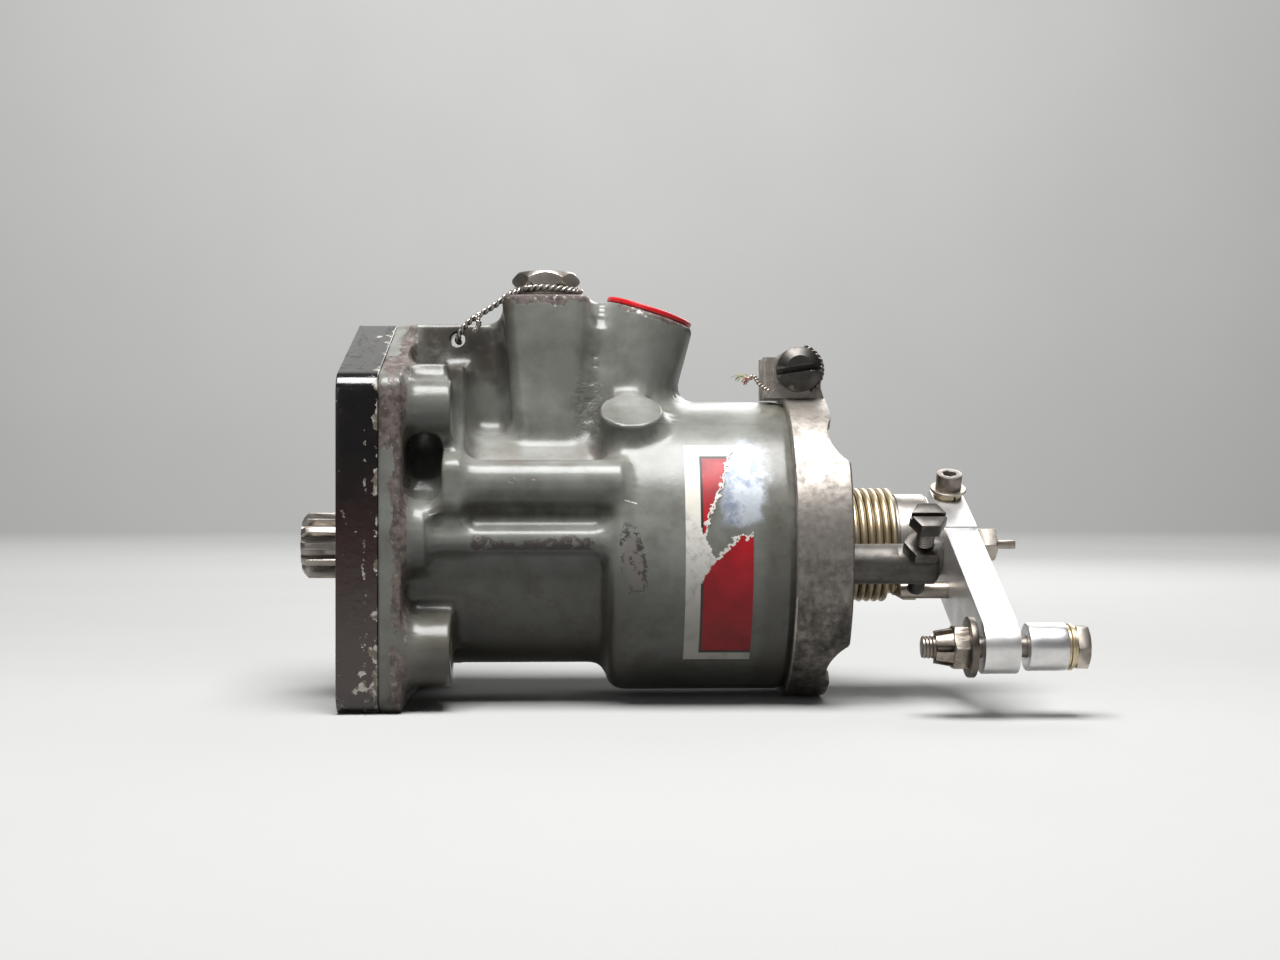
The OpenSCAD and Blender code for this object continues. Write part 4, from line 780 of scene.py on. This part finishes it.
def cast(piece):
    """Rounds every corner of a piece by about the fillet."""
    apply(piece, "REMESH", mode="VOXEL", voxel_size=voxel * MM)
    apply(piece, "DISPLACE", strength=fillet * MM, mid_level=0, direction="NORMAL")
    apply(piece, "REMESH", mode="VOXEL", voxel_size=voxel * MM)
    apply(piece, "DISPLACE", strength=-fillet * MM, mid_level=0, direction="NORMAL")
    apply(piece, "SMOOTH", factor=0.5, iterations=8)
    apply(piece, "DECIMATE", ratio=kept_share)


casting = copy_of("body_casting", "casting")
cast(casting)
print("casting", len(casting.data.polygons), "faces")

# %% [markdown]
# The web's hole for the lock wire closes when the body swells. A dark spot could stand for it, but
# the wire has to pass through. So it is drilled last, as on the real casting.


# %% The lock wire's hole
def drill(piece, place, radius, length):
    """Cuts a round hole along Y at place, in mm."""
    bpy.ops.object.select_all(action="DESELECT")
    spot = [v * MM for v in place]
    bpy.ops.mesh.primitive_cylinder_add(
        vertices=48, radius=radius * MM, depth=length * MM, location=spot, rotation=(math.pi / 2, 0, 0)
    )
    bit = bpy.context.active_object
    apply(piece, "BOOLEAN", operation="DIFFERENCE", solver="EXACT", object=bit)
    bpy.data.objects.remove(bit, do_unlink=True)


wire_hole = (26.3, 0, 51.7)
wire_hole_r = 1.95
drill(casting, wire_hole, wire_hole_r, 20)
print("drilled casting", len(casting.data.polygons), "faces")
only(casting)
bpy.ops.object.shade_smooth()
dress(casting, enamel.material)
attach(casting, "housing")
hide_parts("body_casting")

# %% [markdown]
# Springs, lock wires and yarn are all round wire along a line. A spun circle could only make a plain
# coil, so each is a curve through points that are worked out, given a round section and made a
# mesh with closed ends.


# %% A wire through points
def wire_piece(name, points, radius, material, body=None, rings=3):
    """A round wire through points in mm, as a mesh with closed ends."""
    data = bpy.data.curves.new(name, "CURVE")
    data.dimensions = "3D"
    spline = data.splines.new("POLY")
    spline.points.add(len(points) - 1)
    for spot, point in zip(spline.points, points):
        spot.co = (point[0] * MM, point[1] * MM, point[2] * MM, 1)
    data.bevel_depth = radius * MM
    data.bevel_resolution = rings
    data.use_fill_caps = True
    piece = bpy.data.objects.new(name, data)
    bpy.context.scene.collection.objects.link(piece)
    only(piece)
    bpy.ops.object.convert(target="MESH")
    bpy.ops.object.shade_smooth()
    dress(piece, material)
    if body:
        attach(piece, body)
    print(name, len(piece.data.polygons), "faces")
    return piece


# %% [markdown]
# The return spring is one wire, plated a gold colour, with nine close turns from the cover to the
# lever's stop pin, beside which its last leg steps out. The solid's own coil has coarse facets, so it is
# drawn again on the same line.

# %% Return spring
coil_wire = 1.75
coil_r = 13.6
coil_turns = 9
turn_steps = 48
pin_turn = math.radians(223.7)
pin_reach = 15.8
pin_r = 2.1
drum_reach = 12.1
coil_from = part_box("spring_drum")[0].x / MM - drum_reach + coil_wire / 2
coil_pitch = coil_wire + 0.18
coil_end = pin_turn + math.asin((pin_r + coil_wire / 2 + 0.1) / pin_reach)
coil = []
for k in range(turn_steps * coil_turns + 1):
    turn = coil_end + 2 * math.pi * k / turn_steps
    climb = coil_from + coil_pitch * k / turn_steps
    coil.append((climb, coil_r * math.cos(turn), coil_r * math.sin(turn)))
leg_r = pin_reach * math.cos(coil_end - pin_turn)
coil_to = coil[-1][0]
for along, out in ((0.5, 0.15), (1.5, 0.6), (2.6, 1), (5.5, 1)):
    reach = coil_r + (leg_r - coil_r) * out
    coil.append((coil_to + along, reach * math.cos(coil_end), reach * math.sin(coil_end)))
spring = wire_piece("return_spring", coil, coil_wire / 2, gold)
coil_to * MM
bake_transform(spring)
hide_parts("torsion_spring")
print("spring from", round(coil_from, 2), "to", round(coil_to, 2), "mm")

# %% [markdown]
# A paper label with a red field was glued round the front of the barrel, and a strip of it has
# been torn away. A mask could hide the strip, but then paper would have no edge. So the label is a
# fine grid, laid flat in millimetres and degrees, and the tear's outline is a list of corners on it.

# %% The label's size and its tear
barrel_r = 36.3
label_r = barrel_r + 0.06
label_x = (81.6, 97.6)
label_turn = (-47, 42.8)
tear = [
    (93.9, 42.9), (92.6, 37), (91.6, 30), (90.0, 22), (87.4, 12), (86.4, 6), (87.2, 0.5), (88.6, -2.6),
    (90.2, -0.4), (92.2, 2.4), (94.2, 5.6), (99, 6), (99, 60), (93.9, 60)
]


def inside(spot, outline):
    """True where spot lies inside the outline, by counting crossings."""
    hits = 0
    for (ax, ay), (bx, by) in zip(outline, outline[1:] + outline[:1]):
        if (ay > spot[1]) != (by > spot[1]) and spot[0] < (bx - ax) * (spot[1] - ay) / (by - ay) + ax:
            hits += 1
    return hits % 2 == 1


label_flat = (label_x[1] - label_x[0], math.radians(label_turn[1] - label_turn[0]) * label_r)
print("label flat in mm", [round(v, 1) for v in label_flat])

# %% [markdown]
# Noise moves each face's place a little before it is tested, so the tear is ragged, and the faces
# inside it are deleted. The noise is seeded, or it would start from the clock and tear the paper
# differently in each run. Every vertex near the tear is marked, because paper whitens where it
# tears.

# %% The torn sheet
bpy.ops.object.select_all(action="DESELECT")
bpy.ops.mesh.primitive_grid_add(x_subdivisions=70, y_subdivisions=220, size=1)
label = bpy.context.active_object
label.name = "label"
noise.seed_set(18)
shape = bmesh.new()
shape.from_mesh(label.data)
torn = shape.verts.layers.float.new("torn")
for vertex in shape.verts:
    across = label_x[0] + (vertex.co.x + 0.5) * (label_x[1] - label_x[0])
    turn = label_turn[0] + (vertex.co.y + 0.5) * (label_turn[1] - label_turn[0])
    vertex.co = Vector((across, turn, 0))
gone = []
for face in shape.faces:
    spot = face.calc_center_median()
    drift = noise.noise_vector(Vector((spot.x * 0.9, spot.y * 0.55, 3)))
    small = noise.noise_vector(Vector((spot.x * 4, spot.y * 2.4, 7)))
    if inside((spot.x + drift.x * 1.1 + small.x * 0.35, spot.y + drift.y * 2 + small.y * 0.8), tear):
        gone.append(face)
bmesh.ops.delete(shape, geom=gone, context="FACES")
eight_ways = [(math.cos(t), math.sin(t)) for t in (math.pi * k / 4 for k in range(8))]
for vertex in shape.verts:
    spot = vertex.co
    drift = noise.noise_vector(Vector((spot.x * 0.9, spot.y * 0.55, 3)))
    small = noise.noise_vector(Vector((spot.x * 2.2, spot.y * 1.3, 9)))
    near = (0.75 + small.x * 0.7, (0.75 + small.y * 0.7) * 1.58)
    at = (spot.x + drift.x * 1.1, spot.y + drift.y * 2)
    around = [(at[0] + near[0] * a, at[1] + near[1] * b) for a, b in eight_ways]
    vertex[torn] = float(any(inside(place, tear) for place in around))
print("faces torn away", len(gone))

# %% [markdown]
# The bend tools need a window, and a shrinkwrap would follow the casting's small dents. So the flat
# sheet's second axis is turned into an angle round the barrel, and the sheet is made as thick as
# paper. It stays bare of print.

# %% The sheet round the barrel
for vertex in shape.verts:
    across, turn = vertex.co.x, math.radians(vertex.co.y)
    vertex.co = Vector((across, -label_r * math.cos(turn), label_r * math.sin(turn))) * MM
shape.to_mesh(label.data)
shape.free()
apply(label, "SOLIDIFY", thickness=0.09 * MM, offset=1)
only(label)
bpy.ops.object.shade_smooth_by_angle(angle=soft_angle)
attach(label, "housing")
print("label faces", len(label.data.polygons))

# %% [markdown]
# The paper is white, aged to cream, with a red field inside a thin black line. A picture could
# carry them, but plain bounds on two axes stay crisp at any distance. Where the top layer has
# peeled, raw fibre shows, and scuffs cross the red.

# %% The label's paper
paper = Finish("label_paper", IOR=1.45)
x, y, z = paper.axes()
smudge = paper.noise(160, 5, 0.6)
fibre = paper.noise(520, 6, 0.7)
field = between(x, 0.0858, 0.0990, 0.00012) * between(z, -0.0243, 0.0216, 0.00012)
line = between(x, 0.0852, 0.0995, 0.0001) * between(z, -0.0249, 0.0222, 0.0001)
peel_x = x - 0.0893 + (smudge - 0.5) * 0.006 + (fibre - 0.5) * 0.004 + (z + 0.002).size() * 0.62
peel = (1 - peel_x.step(0.0, 0.0003)) * between(z, -0.0135, 0.009, 0.0003)
white = paper.mix(colour(0.72, 0.69, 0.61), colour(0.5, 0.46, 0.38), smudge.step(0.46, 0.78))
white = paper.mix(white, colour(0.3, 0.26, 0.2), fibre.step(0.69, 0.74) * 0.7)
red = paper.mix(colour(0.42, 0.009, 0.016), colour(0.28, 0.006, 0.011), smudge.step(0.4, 0.7))
look = paper.mix(white, colour(0.02, 0.016, 0.016), line)
look = paper.mix(look, red, field)
raw = paper.mix(colour(0.7, 0.68, 0.63), colour(0.5, 0.47, 0.42), fibre.step(0.45, 0.7))
fringe = paper.node("ShaderNodeAttribute", output="Fac", attribute_name="torn")
look = paper.mix(look, raw, peel.most(fringe.step(0.3, 0.7)))
scuffs = paper.noise(600, 5, 0.7, (1, 1, 0.3)).step(0.7, 0.74)
look = paper.mix(look, colour(0.55, 0.5, 0.46), scuffs * field * 0.7)
paper.feed("Base Color", look)
paper.feed("Roughness", 0.32 + smudge * 0.2 + peel * 0.25)
paper.bump(paper.noise(260, 3) * 0.7 + fibre * peel * 0.6 - peel * 0.5, 0.00008, 0.7)
dress(label, paper.material)
print("paper nodes", len(paper.tree.nodes))

# %% [markdown]
# A fastener is locked by two thin wires that are twisted together and tied so that it can't
# unscrew. One thick wire with a twisted bump would look round from the side, so there are two real
# strands that wind round the same smooth path, half a turn apart.


# %% Strands that wind round a path
def strand(path, radius, pitch, phase, steps=14):
    """Points of one strand that winds round a path in mm."""
    line = []
    for a, b in zip(path, path[1:]):
        a, b = Vector(a), Vector(b)
        count = max(2, int((b - a).length / pitch * steps))
        line += [a.lerp(b, k / count) for k in range(count)]
    line.append(Vector(path[-1]))
    wound = []
    run = 0.0
    for i, spot in enumerate(line):
        ahead = (line[min(i + 1, len(line) - 1)] - line[max(i - 1, 0)]).normalized()
        side = ahead.cross(Vector((0, 0.2, 1))).normalized()
        up = side.cross(ahead)
        if i:
            run += (spot - line[i - 1]).length
        turn = 2 * math.pi * run / pitch + phase
        wound.append(spot + (side * math.cos(turn) + up * math.sin(turn)) * radius)
    return wound


def curve_through(points, steps=10):
    """A smooth path that passes through every point."""
    spots = [Vector(p) for p in points]
    spots = [spots[0] * 2 - spots[1]] + spots + [spots[-1] * 2 - spots[-2]]
    path = []
    for p0, p1, p2, p3 in zip(spots, spots[1:], spots[2:], spots[3:]):
        for k in range(steps):
            t = k / steps
            square = 2 * p0 - 5 * p1 + 4 * p2 - p3
            cube = 3 * p1 - p0 - 3 * p2 + p3
            path.append(0.5 * (2 * p1 + (p2 - p0) * t + square * t**2 + cube * t**3))
    path.append(spots[-2])
    return path


def tie(name, path, material=tie_metal, radius=0.42, wind=0.4, pitch=3.2):
    """Two strands wound round one smooth path in mm."""
    print(name, "path", round(sum((b - a).length for a, b in zip(path, path[1:])), 1), "mm")
    for letter, phase in (("a", 0), ("b", math.pi)):
        wound = strand(path, wind, pitch, phase)
        wire_piece(name + "_" + letter, wound, radius, material, "housing", 2)


# %% [markdown]
# The relief plug is tied to a hole in the web. A solver could drape a rope, but this wire is stiff
# and stays as pliers left it, so its path is a list of points: round the plug's neck, down to the
# hole and through it. The cut ends stand off as a short knot.

# %% Lock wire of the relief plug
plug_low, plug_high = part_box("relief_plug")
plug_at = (plug_low + plug_high) / 2 / MM
neck_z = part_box("relief_gasket")[1].z / MM + 0.95
ring = [
    (plug_at.x + 8.6 * math.cos(t), 8.6 * math.sin(t), neck_z + 0.15 * math.sin(3 * t))
    for t in (math.radians(a) for a in range(60, -150, -15))
]
tail = [
    (39.2, -8.6, 62.6), (36.2, -8.9, 60.2), (32.6, -8.7, 57.9), (29.6, -7.9, 56.0), (27.6, -6.8, 53.9),
    (26.5, -5.4, 51.9), (26.3, -2, 51.6), (26.3, 4, 51.6)
]
tie("lock_wire", curve_through(ring + tail, 6))
knot = [
    (32.2, -8.7, 57.6), (31.5, -9.3, 56.6), (31.9, -9.0, 55.3), (31.4, -8.4, 54.2), (30.6, -8.6, 53.4)
]
tie("lock_knot", curve_through(knot, 6), tie_metal, 0.36, 0.36, 1.6)
print("plug at", round(plug_at.x, 1), "neck at", round(neck_z, 1), "mm")

# %% [markdown]
# The clamp screw is tied too. Its wire comes out behind the head, runs round under it and ends at
# the left in a short frayed pigtail, with a few threads of seal yarn caught in it. Hair could make
# the yarn, but seven short curves need less and are meshes already.

# %% Wire and pigtail on the clamp screw
head_low, head_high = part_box("clamp_screw")
screw_x, screw_z = (head_low.x + head_high.x) / 2 / MM, (head_low.z + head_high.z) / 2 / MM
under_y = head_low.y / MM + 3.4
loop = [
    (screw_x + 6.0 * math.cos(t), under_y + 0.8, screw_z + 6.0 * math.sin(t))
    for t in (math.radians(a) for a in range(75, -75, -15))
]
tie("screw_wire", curve_through(loop, 5), dark_steel, 0.3, 0.3, 2.6)
pigtail = [
    (screw_x - 7.4, -8.0, screw_z - 5.0), (screw_x - 9.6, -8.6, screw_z - 3.6),
    (screw_x - 11.0, -9.0, screw_z - 1.7), (screw_x - 12.4, -9.2, screw_z - 2.2),
    (screw_x - 13.4, -9.0, screw_z - 3.4),
]
tie("pigtail", curve_through(pigtail, 6), cadmium, 0.26, 0.3, 1.7)
yarn_red = plain("yarn_red", colour(0.5, 0.05, 0.03), colour(0.3, 0.03, 0.02), 0.8)
yarn_straw = plain("yarn_straw", colour(0.42, 0.4, 0.2), colour(0.3, 0.3, 0.12), 0.8)
noise.seed_set(10)
for k in range(7):
    wave = noise.noise_vector(Vector((k * 1.7, 0.3, 2.1)))
    lead = Vector((screw_x - 11.4 - 0.35 * k, -9.2, screw_z - 2.4 + 0.1 * k))
    far = lead + Vector((-2.6 - wave.x * 2, wave.y * 1.6, wave.z * 3.2))
    bend = (lead + far) / 2 + Vector((wave.z, -0.4, 0.6))
    yarn = yarn_red if k < 2 else yarn_straw
    wire_piece("yarn_%d" % k, curve_through([lead, bend, far], 5), 0.12, yarn, "housing", 1)
print("clamp screw at", round(screw_x, 1), round(screw_z, 1))

# %% [markdown]
# Threads show in three places: on the stop screw above its nut, on the bolt's end past the castle
# nut, and on the clamp screw's end. A bump would leave their outline straight, so a thread is one
# small triangle swept round an axis by the Screw modifier, a pitch for each turn.


# %% A thread on an axis
def threaded(name, start, axis, radius, pitch, turns, material, body):
    """A thread ridge of some turns from start along axis, in mm."""
    ridge = pitch * 0.56
    sunk = pitch * 0.18
    bpy.ops.object.select_all(action="DESELECT")
    bpy.ops.mesh.primitive_circle_add(vertices=3, radius=ridge * MM, rotation=(math.pi / 2, 0, 0))
    piece = bpy.context.active_object
    piece.name = name
    bpy.ops.object.transform_apply(location=True, rotation=True, scale=True)
    bpy.ops.object.mode_set(mode="EDIT")
    bpy.ops.mesh.select_all(action="SELECT")
    bpy.ops.transform.translate(value=((radius - sunk) * MM, 0, 0))
    bpy.ops.object.mode_set(mode="OBJECT")
    fine = {"steps": 24, "render_steps": 24, "use_merge_vertices": False}
    apply(piece, "SCREW", axis="Z", screw_offset=pitch * MM, iterations=turns, **fine)
    bpy.ops.object.mode_set(mode="EDIT")
    bpy.ops.mesh.select_all(action="SELECT")
    bpy.ops.mesh.fill_holes(sides=4)
    bpy.ops.mesh.normals_make_consistent(inside=False)
    bpy.ops.object.mode_set(mode="OBJECT")
    piece.rotation_euler = Vector(axis).to_track_quat("Z", "Y").to_euler()
    piece.location = Vector(start) * MM
    only(piece)
    bpy.ops.object.transform_apply(location=True, rotation=True, scale=True)
    bpy.ops.object.shade_smooth_by_angle(angle=math.radians(25))
    dress(piece, material)
    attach(piece, body)
    print(name, turns, "turns")


# %% [markdown]
# The clamp screw and the bolt lie along an axis of the frame, and their boxes say where their ends
# are. The stop screw leans, so its nut's top and its own head are found along its axis.


# %% The three threads
def screw_tip(node, tilt, reach):
    """The middle of a node's far end along an axis that leans by tilt about X, and the axis."""
    axis = Vector((0, -math.sin(tilt), math.cos(tilt)))
    spots = [v.co.copy() for v in nodes[node].data.vertices]
    top = max(v.dot(axis) for v in spots)
    cap = [v for v in spots if v.dot(axis) > top - 0.0001]
    return sum(cap, Vector()) / len(cap) / MM + axis * reach, axis


stop_lean = math.radians(44)
stop_pitch = 0.75
stop_head_h = 3.7
nut_top, stop_axis = screw_tip("stop_nut", stop_lean, -0.2)
head_top, _ = screw_tip("stop_screw", stop_lean, 0)
turns = int(((head_top - nut_top).length - stop_head_h) / stop_pitch)
threaded("stop_thread", nut_top, stop_axis, 2.08, stop_pitch, turns, dark_steel, "housing")
coarse_pitch = 0.8
clamp_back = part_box("clamp_nut")[1].y / MM
turns = int((head_high.y / MM - clamp_back) / coarse_pitch)
clamp_start = (screw_x, clamp_back - 0.4, screw_z)
threaded("clamp_thread", clamp_start, (0, 1, 0), 2.6, coarse_pitch, turns, dark_steel, "housing")
bolt_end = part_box("rod_bolt")[0].x / MM
nut_low, nut_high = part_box("castle_nut")
bolt_y, bolt_z = (nut_low.y + nut_high.y) / 2 / MM, (nut_low.z + nut_high.z) / 2 / MM
turns = int((nut_low.x / MM - bolt_end) / coarse_pitch) + 1
bolt_start = (bolt_end + 0.3, bolt_y, bolt_z)
threaded("bolt_thread", bolt_start, (1, 0, 0), 2.4, coarse_pitch, turns, nut_metal, "lever")
